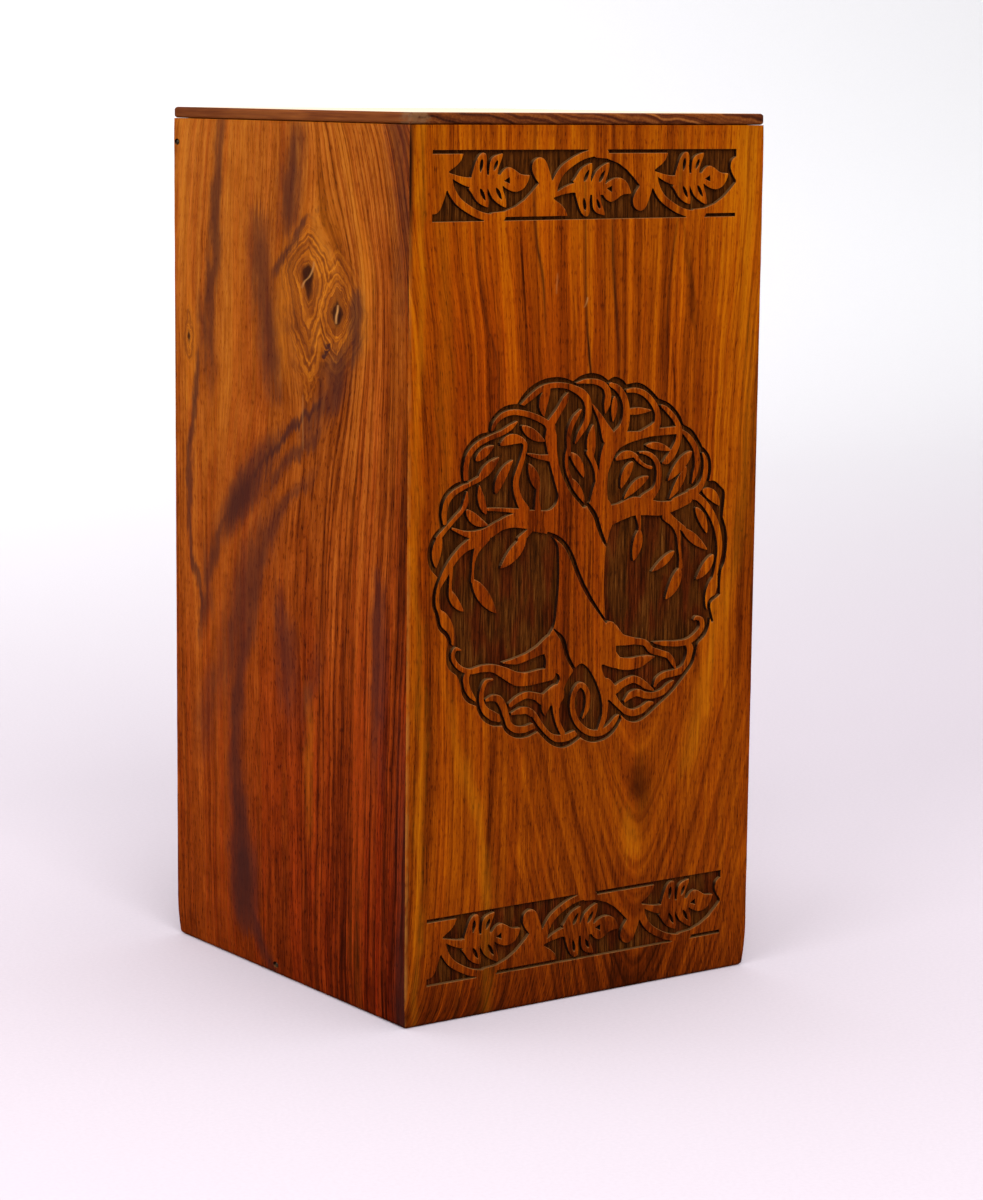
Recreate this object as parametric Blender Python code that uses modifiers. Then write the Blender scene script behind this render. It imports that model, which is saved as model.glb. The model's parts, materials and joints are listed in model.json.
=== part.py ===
"""Carved wooden keepsake box: four mitred boards, a floor board, a flat lid and
four brads, with a tree-of-life roundel between two leaf-scroll bands engraved
in the front board. Metres, +Z up, the carved face towards -Y, the origin at the
middle of the underside."""

import math

import bmesh
import bpy
import numpy as np
from mathutils import Matrix

# Driving dimensions
HEIGHT = 0.254
WIDTH = 0.124
DEPTH = 0.126
WALL = 0.007
LID = 0.0032
FLOOR = 0.006
GAP = 0.0003
FOOT_TAPER = 0.0009
FOOT_RISE = 0.012
FOOT_ROUND = 0.0012
LID_ROUND = 0.0009
CARVE_DEPTH = 0.0012
BRAD_RADIUS = 0.0006
BRAD_LENGTH = 0.012

# Where the carving sits on the front board, from its middle line and its lower edge
CARVING_SHIFT = -0.0015
ROUNDEL_HEIGHT = 0.128
BAND_HEIGHTS = (0.0212, 0.2343)

# How finely the carving is worked out, in millimetres
FIELD_STEP = 0.25
OUTLINE_TOLERANCE = 0.12
SMALLEST_POCKET = 0.35

WALL_TOP = HEIGHT - LID - GAP
MM = 0.001

# The tables below are in millimetres, from the roundel's centre or the band's
# centre. A width list is spread evenly along its band.

# Rim grooves, clockwise: how many of the points bound the ground, then the points along the groove
RIM_WIDTHS = (0.9, 1.25, 1.3, 1.25, 0.8)
RIM = (
    (6, ((-49.9, -0.3), (-52.3, 2.6), (-53.1, 6), (-52.1, 9.6), (-50.2, 12), (-48.3, 13.4))),
    (6, ((-49.2, 13.4), (-49.5, 17.5), (-48.4, 21.2), (-46, 23.6), (-43.2, 24.9), (-40.3, 25.3))),
    (6, ((-42.2, 25.6), (-42.4, 29.5), (-41.4, 33.2), (-39.2, 35.9), (-36.3, 37.7), (-33.2, 38.4))),
    (5, ((-33.4, 38.6), (-32.6, 41.3), (-30, 43.9), (-27, 45.2), (-23.5, 45.4), (-21, 44.9))),
    (7, ((-23.5, 45.7), (-21.2, 48.4), (-18, 50.6), (-14, 52), (-10, 52.3), (-6.5, 51.7), (-3.6, 50.6))),
    (5, ((-4.2, 51.2), (-1.5, 52.4), (2, 52.9), (5.3, 52.2), (8, 50.7))),
    (4, ((8.3, 50.9), (10.4, 51.5), (12.8, 50.6), (14.7, 49))),
    (4, ((14.8, 49.4), (19, 49.4), (22.6, 47.6), (26.6, 44.4))),
    (4, ((26.8, 44.6), (30.4, 42.8), (33.5, 39.9), (35.4, 36.8))),
    (4, ((35.7, 36.7), (38.8, 34.8), (41.5, 31.4), (42.8, 29.4))),
    (4, ((43, 29.8), (45, 27.4), (45.7, 24), (45.2, 19.8))),
    (6, ((44.4, 19.4), (47.2, 19.6), (49.9, 17.6), (51, 16.2), (50.8, 12), (50.5, 8.3))),
    (7, ((50.6, 9.2), (51.9, 5.5), (52.3, 1), (51.6, -3.8), (50.4, -6.4), (50.1, -10), (50.3, -13.4))),
    (3, ((50, -13.6), (47, -15.2), (46.5, -17.5), (47.9, -21.3))),
    (14, ((46.6, -18.5), (46.4, -22), (45, -25), (42.3, -27.2), (41.4, -30), (40.4, -33), (38, -35.8), (35, -38.8), (31.9, -41.4), (28, -43.9), (24, -46.6), (20.6, -48), (17.2, -47.4), (14.6, -45.4), (10, -41.4))),
    (5, ((14.4, -47), (12, -50), (9, -51.8), (5, -52.3), (1.5, -51.2), (-1.5, -48.6), (-3.6, -45))),
    (6, ((-0.6, -50.9), (-4, -52.4), (-7, -52.6), (-10.4, -51.2), (-13.4, -48.7), (-15.6, -46.2), (-17.5, -43.4))),
    (4, ((-15.4, -47.2), (-19, -48.2), (-23, -47.9), (-26.3, -45.8), (-27.6, -42.8), (-28.6, -40.4))),
    (4, ((-28, -44.2), (-31, -43.6), (-34, -41.8), (-36, -38.6), (-36.6, -35))),
    (14, ((-36.4, -37.7), (-39.5, -36.2), (-41.1, -34), (-41.8, -31), (-43, -28.4), (-45.8, -26), (-46.5, -23), (-46, -19.5), (-46.9, -17), (-49.3, -14.6), (-50.3, -11), (-51.5, -8), (-51.2, -4), (-49.6, -0.2))),
)
# Grooves cut into the motif itself: widths, then points
GROOVES = (
    ((1, 1.3, 1.4, 1.2, 0.6), ((-12.5, 8.7), (-8, 5.4), (-2.2, -3.8), (3.2, -11.4), (8.4, -18))),
    ((0.8, 1.3, 1.2, 0.5), ((0.8, 16.8), (3.6, 12.4), (5.4, 8.6), (8.4, 4))),
    ((0.4, 1.6, 1.4, 1), ((-10, -18.6), (-6.8, -22), (-5, -27), (-2.2, -31.4))),
)
# Bands and limbs of the motif: widths, then points
BANDS = (
    ((0.9, 1.6, 1.7, 1.5, 1.5, 1.8, 2.4, 2.5, 2.1, 2, 1.6, 0.5), ((-22.2, 45.5), (-19, 47.7), (-15.5, 49.8), (-12, 50.6), (-8, 50.5), (-4.6, 49.6), (-1.2, 47.9), (0.8, 45.5), (1.1, 42), (0.1, 39), (-1.8, 36.5), (-3.3, 34))),
    ((0.9, 1.4, 1.5, 1.5, 1.6, 1.7, 1.8, 3), ((-32.2, 39.3), (-30.9, 41.5), (-28.3, 43.2), (-25, 43.8), (-21, 43.2), (-17, 41.9), (-13.7, 40.3), (-12, 38.8))),
    ((1.6, 1.9, 1.7, 1.5, 1.4, 1.5, 1.6, 0.5), ((-40.9, 26), (-41.1, 29), (-40.1, 32.4), (-37.4, 35.2), (-33.5, 36.9), (-29, 38.2), (-26, 39.6), (-23.8, 41))),
    ((1.3, 1.9, 1.9, 1.6, 1.4, 1.3, 1.5), ((-47.9, 14.4), (-48.1, 17), (-47.4, 19.9), (-45.3, 22.2), (-42, 23.8), (-38.5, 25), (-36, 26))),
    ((2.6, 2, 2.1, 0.8), ((-12, 40), (-9.3, 43.3), (-7.2, 46.2), (-6.2, 48))),
    ((0.6, 1.6, 1.7, 1.5, 1.2), ((-1.5, 43.2), (-3.4, 41.2), (-5, 38.6), (-5.7, 35.6), (-5.4, 31))),
    ((1.2, 1.1, 1.2, 1.2), ((-5.6, 33), (-6.4, 30), (-6, 26.5), (-4.6, 23.4))),
    ((2, 4, 3, 2.7, 3.7, 5.6, 10), ((-12.2, 40), (-11.9, 36), (-11.2, 31), (-9.6, 25.5), (-7.3, 20.3), (-6, 17), (-4, 12))),
    ((1.4, 1.3, 1.4, 1.7, 1.9, 2, 2.2, 3), ((-22.4, 36.2), (-20.8, 34.5), (-21.4, 31.5), (-22.7, 28), (-23.8, 25), (-23.7, 22), (-22.6, 19), (-20.6, 16))),
    ((1.9, 1.3, 1, 0.4), ((-12.3, 30.3), (-15.5, 30.7), (-18, 31.3), (-19.9, 31.9))),
    ((0.8, 1.3, 2.2), ((-16.2, 22.5), (-16.4, 19), (-16.2, 16))),
    ((1.8, 1.1, 1, 0.8), ((-21, 15.6), (-26, 16.4), (-30, 16.9), (-33.6, 17.2))),
    ((1.6, 1.3, 1.2, 1.2, 1.7, 0.5), ((-50, 10.3), (-47.5, 12.6), (-44.5, 15.3), (-42, 17.5), (-40.8, 19.8), (-40.5, 22.4))),
    ((6, 5.2, 3.8, 3, 3.4, 2.6, 1.5, 0.6), ((-13, 12.4), (-20, 13.4), (-25, 13.4), (-29, 12.4), (-33, 10.7), (-37, 10.2), (-41, 10.9), (-45.3, 12.6))),
    ((4, 2.6, 2.2, 2.2, 2, 1.2, 1.2, 1.3, 1.5), ((-36, 9), (-40.5, 7.3), (-43.7, 5), (-46.2, 2.2), (-48, -0.5), (-49.7, -3.5), (-50.2, -6.5), (-49.8, -9.5), (-48.7, -11.5))),
    ((1.5, 0.9, 0.9, 1.4), ((-45.8, 2), (-45.7, -1), (-45.9, -4), (-45.6, -6))),
    ((4, 1.8, 0.9, 0.7, 1), ((-34.5, 9.6), (-37, 6), (-38, 3), (-38.3, 0), (-38.4, -2.6))),
    ((1.6, 2.2), ((-18.6, 10.4), (-22, 7.8))),
    ((2, 1.4, 1.4, 2.2), ((1.6, 31), (3.2, 28.2), (4.4, 25.4), (5.2, 22))),
    ((7, 5, 3.2, 4.6, 5.4, 3.4, 2.2, 3.4), ((5.2, 15), (5.7, 20), (6.8, 25), (8, 29.5), (10.2, 33.2), (15, 34.5), (20, 35), (25, 36.4))),
    ((2.2, 2.1, 2.2), ((24, 35.5), (29, 35.6), (33.4, 35.7))),
    ((4.4, 2.8, 1.6, 0.3), ((8.4, 35.2), (6.9, 38), (5.2, 41), (2.5, 44.7))),
    ((1.2, 1.9, 2, 2.2, 2.6, 3.4, 4.4), ((8.9, 50), (11.4, 48.8), (13.5, 46.5), (14.6, 43.5), (14.6, 40), (13.5, 37), (11.5, 34.6))),
    ((0.4, 1.3, 1.6, 1.9, 2.2, 2.2, 0.4), ((-3.2, 50.9), (0, 51.3), (4, 50.9), (6.9, 49.5), (8, 47.2), (7.7, 44.5), (7.2, 42))),
    ((1, 1.5, 1.7, 1.8, 1.9, 2.4, 3), ((15, 47.9), (18, 47.9), (21.5, 46.6), (24.5, 43.8), (26, 41), (26, 38), (24.5, 36.4))),
    ((0.8, 1.8, 1.9, 2.1, 2, 2.4, 2.2, 0.5), ((27.6, 43), (30.3, 41.3), (33, 38.5), (34.2, 35.5), (33.7, 32.3), (32, 29.3), (30, 27.2), (28.3, 26.5))),
    ((0.8, 1.6, 1.8, 1.9, 1.7, 1.6, 0.4), ((35.2, 35.4), (37.6, 33.5), (39.9, 30.8), (40.9, 28), (41, 25), (40.3, 22.5), (39.3, 20))),
    ((0.6, 1.5, 1.7, 1.9, 2.2, 2.4, 3), ((43.1, 28.4), (44.2, 26), (44.1, 22.5), (43.2, 20), (41.5, 18), (38, 16.4), (33, 14.6))),
    ((1.3, 1, 0.9, 0.9), ((17.8, 29.4), (19.8, 27.4), (22, 26), (24, 25.4))),
    ((0.5, 1.2, 1.4, 1.7, 1.9, 2, 2.4, 4), ((19.8, 30), (22.5, 29.6), (25, 28.2), (26.5, 26), (27, 23), (26.6, 20.5), (25.4, 18.4), (22, 16))),
    ((6, 5, 5.4, 4.6, 4, 3, 2.8), ((8, 12.2), (13, 13.3), (18, 14.6), (23, 14), (28, 13.3), (33, 13.9), (38, 15.4))),
    ((1.8, 0.8, 0.8, 1), ((19.6, 12), (20.2, 8.8), (20.1, 7.2), (20, 5.6))),
    ((3, 2.2, 1.5, 1, 0.9, 1.4), ((30, 11), (33, 8.4), (34.5, 5.5), (35, 2), (35.5, -1.5), (35.6, -4.4))),
    ((2.4, 1.9, 1.6), ((31, 10.4), (34, 8.3), (36.6, 6.7))),
    ((3, 2, 2, 2.1, 2.1, 2, 1.7, 1.4, 1.3, 1.6), ((39, 16.8), (41.7, 15.6), (44.5, 13.3), (47, 10.2), (48.8, 6.8), (49.9, 3), (50.2, -0.5), (49.6, -4), (48.8, -7.5), (48, -10))),
    ((5, 2.9, 2.1, 2, 0.4), ((-11, -22.6), (-15, -24.2), (-19, -25.6), (-23, -26.5), (-27.6, -26.6))),
    ((3.5, 4, 3.8, 3.9, 3.2, 2.2, 1.9, 1.5, 1.4, 1.3, 1.3, 1.1, 0.4), ((-11, -31.5), (-15, -31.7), (-19, -32.1), (-23, -31.6), (-27, -29.6), (-31, -27.9), (-35, -27.6), (-38.8, -28), (-42, -26.9), (-44.2, -24.8), (-44.8, -22.8), (-43.9, -21.2), (-42.2, -21.6))),
    ((1.6, 2, 1.9, 1.5, 0.5), ((-39.6, -28), (-40.3, -30), (-39.9, -32.5), (-38.4, -34.9), (-36.8, -36.6))),
    ((6, 3.4, 2.1, 1.9, 1.9, 1.4), ((-9, -37.6), (-13, -38.6), (-16, -37.4), (-19.3, -36.7), (-22.3, -37.5), (-24.8, -38.9))),
    ((3.6, 2.4, 0.3), ((-12.2, -39.2), (-12.7, -41.2), (-12.7, -43.2))),
    ((2.6, 1.9, 1.5, 1.6), ((-9, -40), (-8.8, -43), (-8, -46), (-6.4, -49))),
    ((0.6, 1.2, 1.4, 1.5, 2.2, 2.7, 2), ((-31.3, -31), (-33.5, -31.5), (-34.8, -34), (-34.9, -37), (-33.6, -39.6), (-31, -41.4), (-28.8, -42.4))),
    ((0.8, 1.8, 2.1, 2.2, 2, 2, 2, 1.9, 1.8, 0.8), ((-33.2, -36.7), (-31, -36.3), (-29, -36.9), (-27.5, -38.9), (-26.5, -41.5), (-25.5, -44.3), (-23.4, -46), (-20, -46.5), (-17.2, -45.9), (-15.6, -46))),
    ((0.8, 2, 2, 2, 2, 1.9, 1.9, 2, 2.2, 1.8), ((-24.3, -41.5), (-21.5, -41), (-19, -41.2), (-17, -42.5), (-15.1, -45), (-13, -47.6), (-10.6, -49.6), (-7.6, -50.5), (-4.6, -50.4), (-2, -49.6))),
    ((0.6, 1.5, 1.7, 1.6, 1.6, 1.6, 1.7, 1.8, 1.8, 1.8, 1.8, 1.9, 1.9, 1.5, 0.6), ((0.8, -45.3), (2.1, -43), (2.6, -40), (1.8, -37.2), (-0.3, -35.6), (-2.3, -37.4), (-3.1, -40.5), (-2.6, -43.8), (-1.1, -46.6), (1.4, -48.9), (4.4, -50.2), (7.5, -50.3), (10.4, -49.1), (12.6, -47), (13.6, -46))),
    ((3.4, 2.2, 1.9, 1.8, 1.5), ((9, -38.6), (8.8, -42), (8.7, -45), (7.9, -47.4), (6.9, -49.6))),
    ((7, 3.4, 1.9, 1.8, 1.9, 1.8, 1.7, 1.6, 0.5), ((9.6, -21.6), (14, -23.8), (19, -24.7), (23, -25.6), (25.2, -27.8), (28.5, -29), (31.5, -30.1), (33.3, -32), (34.4, -34.2))),
    ((0.5, 1.5, 1.7, 1.8, 1.9, 1.8, 1.5, 1.2, 0.4), ((26.2, -25.8), (30, -26.4), (35, -26.9), (39, -26.6), (42, -25.1), (44, -22.9), (43.8, -20.7), (42, -19.9), (41, -20.4))),
    ((2, 2.4, 2.4, 2.2, 2, 2, 1.8, 0.9), ((38.9, -27), (39.9, -29.4), (39.2, -32.2), (37.4, -34.6), (34, -35.5), (30.5, -35.8), (28, -36.9), (26.8, -38.6))),
    ((6, 3.4, 3.5, 3.4, 2, 0.4), ((9, -27.8), (13, -30.4), (17, -31.2), (21, -31), (24, -30.3), (26.4, -30))),
    ((4.4, 2.6, 2, 2.1, 2.1, 1.9, 0.6), ((9, -36.8), (12, -38.3), (15, -36.9), (18.5, -35.9), (21, -36.6), (23.5, -38.2), (26.2, -39.8))),
    ((0.8, 2, 2.1, 2, 1.8, 1.9, 1.8, 0.8), ((16, -42), (18, -40.5), (20.5, -40), (23, -40.9), (26, -41.4), (29.5, -40.8), (32, -39.2), (33.6, -38))),
    ((3.6, 2.4, 1.9, 2, 2.2, 1.8, 0.7), ((9.8, -38.6), (12.4, -41.8), (15.2, -44.3), (18.5, -45.7), (22, -45.3), (24.5, -43.9), (26.2, -43.6))),
)
# Leaves of the motif: foot, tip, width, and how far the middle bows to the left of the way to the tip
LEAVES = (
    ((-12.6, 50), (-14.4, 42), 3.6, -1.2), ((-22, 39.8), (-14, 35.1), 3.4, -0.3),
    ((-29.4, 34.8), (-20.6, 35), 3.4, 1.4), ((-37.6, 31), (-31.5, 34.9), 3.1, 0.2),
    ((-36.6, 25.7), (-29.7, 31.5), 3.4, 0.1), ((-16.1, 21.6), (-19.6, 29.2), 3.6, -0.2),
    ((-30.8, 21.3), (-24.9, 30.5), 3.4, 0.8), ((-33.9, 15.8), (-36.4, 24.2), 2.7, 0.5),
    ((-40.6, 17.6), (-33.3, 12.8), 3.4, -0.9), ((-49.2, 10.9), (-50.7, 2), 3.7, -0.6),
    ((-19.6, 9.6), (-29.9, 0.2), 5.2, 0.5), ((-46.1, -4.4), (-41.3, -10.8), 3, -0.6),
    ((-49.4, -9.9), (-44.7, -20.2), 4.2, 0.4), ((-38.8, -1.4), (-30.3, -12.6), 4.7, 0.2),
    ((-5.1, 31.3), (-0.2, 24), 3.2, 0.7), ((-5.4, 24.3), (0.3, 16.6), 2.7, 0.4),
    ((2.6, 29.2), (3, 39), 3.6, 0.5), ((10.3, 46.6), (9.9, 39.3), 2.5, 0.2),
    ((13.6, 41.8), (23.8, 41.9), 2.3, 0.1), ((21.9, 31.9), (31.4, 29.8), 2.6, 0.5),
    ((11, 28.3), (19.4, 28.8), 2.7, 1.1), ((17.3, 27.5), (13.2, 20), 3.4, -0.4),
    ((23.2, 22.9), (14.3, 16.9), 3.2, -0.6), ((39, 29.3), (30.3, 21.2), 3.9, -0.1),
    ((37, 25), (30.8, 15.8), 3.1, 0.5), ((20.2, 7), (18.9, -1.5), 3.5, 0),
    ((35.8, -3.8), (29.4, -13.2), 4.8, 0.2), ((34.2, 1.2), (26.6, -4.2), 3, 0.1),
    ((35.8, 7), (45.5, 0), 3.3, -0.1), ((40.8, 12.7), (45.2, 4.8), 3.2, 0.5),
    ((43.3, 17.6), (49.7, 12.6), 3.8, 0.9), ((49.3, -7.8), (45.8, -17.8), 4.4, -0.4),
    ((48, -0.8), (41.1, -8.7), 4.2, 0.2),
)
# Filled shape of the trunk and the root crown, as a smooth outline
TRUNK = (
    (-9.4, 17.4), (-9.8, 15.4), (-14, 15), (-19, 13), (-19.2, 10.5), (-15, 9.3), (-11.5, 8.3), (-9, 5.4), (-8.4, 0.5), (-8.4, -6), (-9, -12), (-9.8, -17.4),
    (-11.6, -20.2), (-13.4, -24), (-12.6, -27.5), (-12.6, -30.6), (-8.8, -31.4), (-7.6, -33), (-9, -35.4), (-10.6, -38), (-9.4, -41), (-7.7, -41.6), (-7, -38.4), (-5.4, -34.6),
    (-2.8, -31.2), (-0.2, -29.4), (2.6, -31.2), (5.2, -35), (7, -39), (7.8, -42), (9, -41.6), (11.4, -40.6), (12.6, -38.6), (9.8, -36.2), (7.8, -33), (7.2, -30.6), (9, -30.4), (12, -28.4),
    (12.2, -25), (11.4, -21.6), (9.6, -19.8), (8.5, -18), (7.8, -12), (7.6, -4), (8, 2), (9.2, 7.4), (10.6, 11), (9.8, 15.4), (8, 17.6), (5, 18.6), (2.8, 17.6), (0.7, 15.6), (-1.4, 15.8), (-4, 17.6), (-7, 19),
)
# Leaf-scroll band, one unit: the bands, then the leaf spray's lobes and the bud;
# the next unit is the same one pitch on and upside down
SCROLL_BANDS = (
    ((2.4, 2.4, 2.2, 2.1, 2, 2, 2.2), ((-47.6, 2.2), (-46.9, -0.6), (-44.6, -3.9), (-41, -6.3), (-37.4, -7.9), (-33.6, -8.7), (-29.6, -8.6))),
    ((0.9, 2.2, 2.8, 4.2, 4.4, 3), ((-47.6, 2.8), (-43.6, 1.5), (-40.4, 0.8), (-36.4, 1.2), (-31.6, 1.4), (-28.5, 1.6))),
)
SCROLL_FILLS = (
    ((-40.3, 0.6), (-39.9, 3), (-38.9, 6.4), (-37.4, 8.4), (-35.6, 8.8), (-34.8, 7.4), (-34.5, 4), (-34.6, 0.6)),
    ((-35, 0.6), (-34.9, 5.6), (-33.7, 7.8), (-31.7, 8.6), (-30.1, 8.2), (-29.7, 6), (-29.9, 3.4), (-30.2, 0.6)),
    ((-31, 0.8), (-29.9, 3.9), (-28.2, 4.9), (-26.5, 4.6), (-24.7, 3.4), (-22.8, 2.7), (-20.5, 2.6), (-21.2, 0.6), (-22.9, -1), (-25.2, -1.8), (-27.6, -1.4), (-29.7, -0.2)),
    ((-41.2, -0.2), (-40, -3), (-37.9, -5), (-35.7, -5.9), (-34.2, -5.9), (-34, -4), (-33.3, -2), (-32.8, 0.6)),
    ((-33.6, 0.6), (-33.2, -2.2), (-32.1, -4.4), (-30.4, -5.8), (-28.7, -6.3), (-28.4, -4.5), (-28.9, -2.6), (-29.8, 0.4)),
    ((-17.4, 0.6), (-18.7, 2.2), (-19.6, 4.2), (-19.3, 6.2), (-18, 7.3), (-16.5, 7.5), (-15, 6.5), (-13.9, 4.2), (-13, 1.8), (-12.6, -1), (-15, -3)),
)
SCROLL_GUSSET = (
    (-36, -9.7), (-33, -7.4), (-29, -7.1), (-25, -5.8), (-22, -4), (-19.5, -1.8), (-17.3, 0.4), (-15.2, 1.6), (-12.8, 1.4), (-11, -0.4),
    (-12.1, -3.9), (-9.6, -5.4), (-8.1, -6.8), (-7.3, -8.6), (-31, -8.6), (-31, -9.7),
)
SCROLL_SLITS = (
    (0.9, ((-36.7, 6.9), (-37.6, 4.2))), (0.9, ((-31.4, 6.7), (-32.9, 4))),
    (1, ((-37.3, -0.7), (-35.5, -4.1))), (1.1, ((-31.9, -0.5), (-29.9, -3.8))),
)
SCROLL_PIT = ((-29.3, 1.2), (-27.5, 2.1), (-27.1, 0.2))
BAND_X, BAND_Y = (-52.9, 53.2), 9.65
SCROLL_PITCH = 35.4


def spline(points, steps, closed=False):
    """A Catmull-Rom curve through a few points."""
    p = np.asarray(points, float)
    if closed:
        p = np.vstack([p[-1:], p, p[:2]])
    else:
        p = np.vstack([2 * p[:1] - p[1:2], p, 2 * p[-1:] - p[-2:-1]])
    t = np.linspace(0, 1, steps, endpoint=False)[:, None]
    out = [0.5 * (2 * b + (c - a) * t + (2 * a - 5 * b + 4 * c - d) * t ** 2 + (3 * b - a - 3 * c + d) * t ** 3)
           for a, b, c, d in zip(p[:-3], p[1:-2], p[2:-1], p[3:])]
    if not closed:
        out.append(p[-2:-1])
    return np.vstack(out)


class Field:
    """Signed distance to a drawn shape on a regular grid, negative inside it."""

    def __init__(self, x0, x1, y0, y1, step):
        self.xs = np.arange(x0, x1 + step / 2, step)
        self.ys = np.arange(y0, y1 + step / 2, step)
        self.d = np.full((len(self.ys), len(self.xs)), 9.0)

    def patch(self, low, high, pad=1.5):
        i0, i1 = np.searchsorted(self.xs, [low[0] - pad, high[0] + pad])
        j0, j1 = np.searchsorted(self.ys, [low[1] - pad, high[1] + pad])
        x, y = np.meshgrid(self.xs[i0:i1], self.ys[j0:j1])
        return (slice(j0, j1), slice(i0, i1)), x, y

    def chain(self, centres, radii):
        """A run of round-ended tapered segments."""
        for a, b, ra, rb in zip(centres[:-1], centres[1:], radii[:-1], radii[1:]):
            r = max(ra, rb)
            where, x, y = self.patch(np.minimum(a, b) - r, np.maximum(a, b) + r)
            if x.size:
                v = b - a
                t = np.clip(((x - a[0]) * v[0] + (y - a[1]) * v[1]) / max(v @ v, 1e-9), 0, 1)
                d = np.hypot(x - a[0] - t * v[0], y - a[1] - t * v[1]) - (ra + (rb - ra) * t)
                self.d[where] = np.minimum(self.d[where], d)

    def band(self, widths, points, steps=5):
        """A smooth band through the points, its width changing along it."""
        c = spline(points, steps)
        along = np.linspace(0, 1, len(c))
        self.chain(c, np.interp(along, np.linspace(0, 1, len(widths)), widths) / 2)

    def leaf(self, foot, tip, width, bow, steps=14):
        """A pointed leaf from its foot to its tip, bowed to the left of the way there."""
        a, b = np.asarray(foot, float), np.asarray(tip, float)
        v = b - a
        side = np.array([-v[1], v[0]]) / np.hypot(*v)
        t = np.linspace(0, 1, steps)
        middle = a + v * t[:, None] + side * (bow * 4 * t * (1 - t))[:, None]
        self.chain(middle, np.maximum(width / 2 * np.sin(np.pi * t ** 0.85) ** 0.8, 0.02))

    def fill(self, points, smooth=True):
        """The inside of a closed outline."""
        c = spline(points, 4, closed=True) if smooth else np.asarray(points, float)
        where, x, y = self.patch(c.min(0), c.max(0))
        if not x.size:
            return
        d = np.full(x.shape, 1e9)
        inside = np.zeros(x.shape, bool)
        for a, b in zip(c, np.roll(c, -1, 0)):
            v = b - a
            t = np.clip(((x - a[0]) * v[0] + (y - a[1]) * v[1]) / max(v @ v, 1e-9), 0, 1)
            d = np.minimum(d, np.hypot(x - a[0] - t * v[0], y - a[1] - t * v[1]))
            if a[1] != b[1]:
                inside ^= ((a[1] > y) != (b[1] > y)) & (x < (b[0] - a[0]) * (y - a[1]) / (b[1] - a[1]) + a[0])
        self.d[where] = np.minimum(self.d[where], np.where(inside, -d, d))


def roundel_pockets(step):
    """Where the roundel's ground is cut away, as a field that is negative there."""
    box = (-55, 55, -55, 55, step)
    motif, ground, grooves = Field(*box), Field(*box), Field(*box)
    for widths, points in BANDS:
        motif.band(widths, points)
    for leaf in LEAVES:
        motif.leaf(*leaf)
    motif.fill(TRUNK)
    ground.fill(np.vstack([spline(points[:used], 5) for used, points in RIM]), smooth=False)
    for _, points in RIM:
        grooves.band(RIM_WIDTHS, points)
    for widths, points in GROOVES:
        grooves.band(widths, points)
    motif.d = np.minimum(np.maximum(ground.d, -motif.d), grooves.d)
    return motif


def scroll_pockets(step):
    """Where the leaf-scroll band's ground is cut away."""
    motif = Field(BAND_X[0] - 2, BAND_X[1] + 2, -BAND_Y - 2, BAND_Y + 2, step)
    slits = Field(BAND_X[0] - 2, BAND_X[1] + 2, -BAND_Y - 2, BAND_Y + 2, step)
    for unit in range(-1, 4):
        flip = -1 if unit % 2 else 1
        place = lambda points: [(x + unit * SCROLL_PITCH, y * flip) for x, y in points]
        for widths, points in SCROLL_BANDS:
            motif.band(widths, place(points))
        for points in SCROLL_FILLS:
            motif.fill(place(points))
        motif.fill(place(SCROLL_GUSSET), smooth=False)
        if unit in (0, 1, 2):
            for width, points in SCROLL_SLITS:
                slits.leaf(*place(points), width, 0)
            slits.fill(place(SCROLL_PIT), smooth=False)
    x, y = np.meshgrid(motif.xs, motif.ys)
    middle, half = sum(BAND_X) / 2, (BAND_X[1] - BAND_X[0]) / 2
    frame = np.maximum(np.abs(x - middle) - half, np.abs(y) - BAND_Y)
    motif.d = np.minimum(np.maximum(frame, -motif.d), np.maximum(slits.d, frame))
    return motif


def outlines(field):
    """The closed lines where the field is zero, each with the cut-away side on its left."""
    d, xs, ys = field.d, field.xs, field.ys
    cut = d < 0
    mixed = cut[:-1, :-1].astype(int) + cut[:-1, 1:] + cut[1:, :-1] + cut[1:, 1:]
    follows, where = {}, {}

    def crossing(j, i, upright):
        key = (j, i, upright)
        if key not in where:
            a, b = d[j, i], d[j + 1, i] if upright else d[j, i + 1]
            t = a / (a - b)
            where[key] = (xs[i], ys[j] + (ys[j + 1] - ys[j]) * t) if upright else (xs[i] + (xs[i + 1] - xs[i]) * t, ys[j])
        return key

    for j, i in np.argwhere((mixed > 0) & (mixed < 4)):
        corners = (cut[j, i], cut[j, i + 1], cut[j + 1, i + 1], cut[j + 1, i])
        sides = ((j, i, False), (j, i + 1, True), (j + 1, i, False), (j, i, True))
        ends, starts = [], []
        for k in range(4):
            if corners[k] and not corners[(k + 1) % 4]:
                starts.append(k)
            elif corners[(k + 1) % 4] and not corners[k]:
                ends.append(k)
        if len(starts) == 2:
            joined = d[j:j + 2, i:i + 2].mean() < 0
            pairs = [(s, (s + 1) % 4 if joined else (s - 1) % 4) for s in starts]
        else:
            pairs = [(starts[0], ends[0])]
        for s, e in pairs:
            follows[crossing(*sides[s])] = crossing(*sides[e])
    loops = []
    while follows:
        first = next(iter(follows))
        loop, key = [], first
        while key in follows:
            loop.append(where[key])
            key = follows.pop(key)
        loops.append(np.array(loop))
    return loops


def area(loop):
    """Positive round a pocket, negative round an island in it."""
    x, y = loop[:, 0], loop[:, 1]
    return (np.dot(x, np.roll(y, -1)) - np.dot(y, np.roll(x, -1))) / 2


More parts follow.
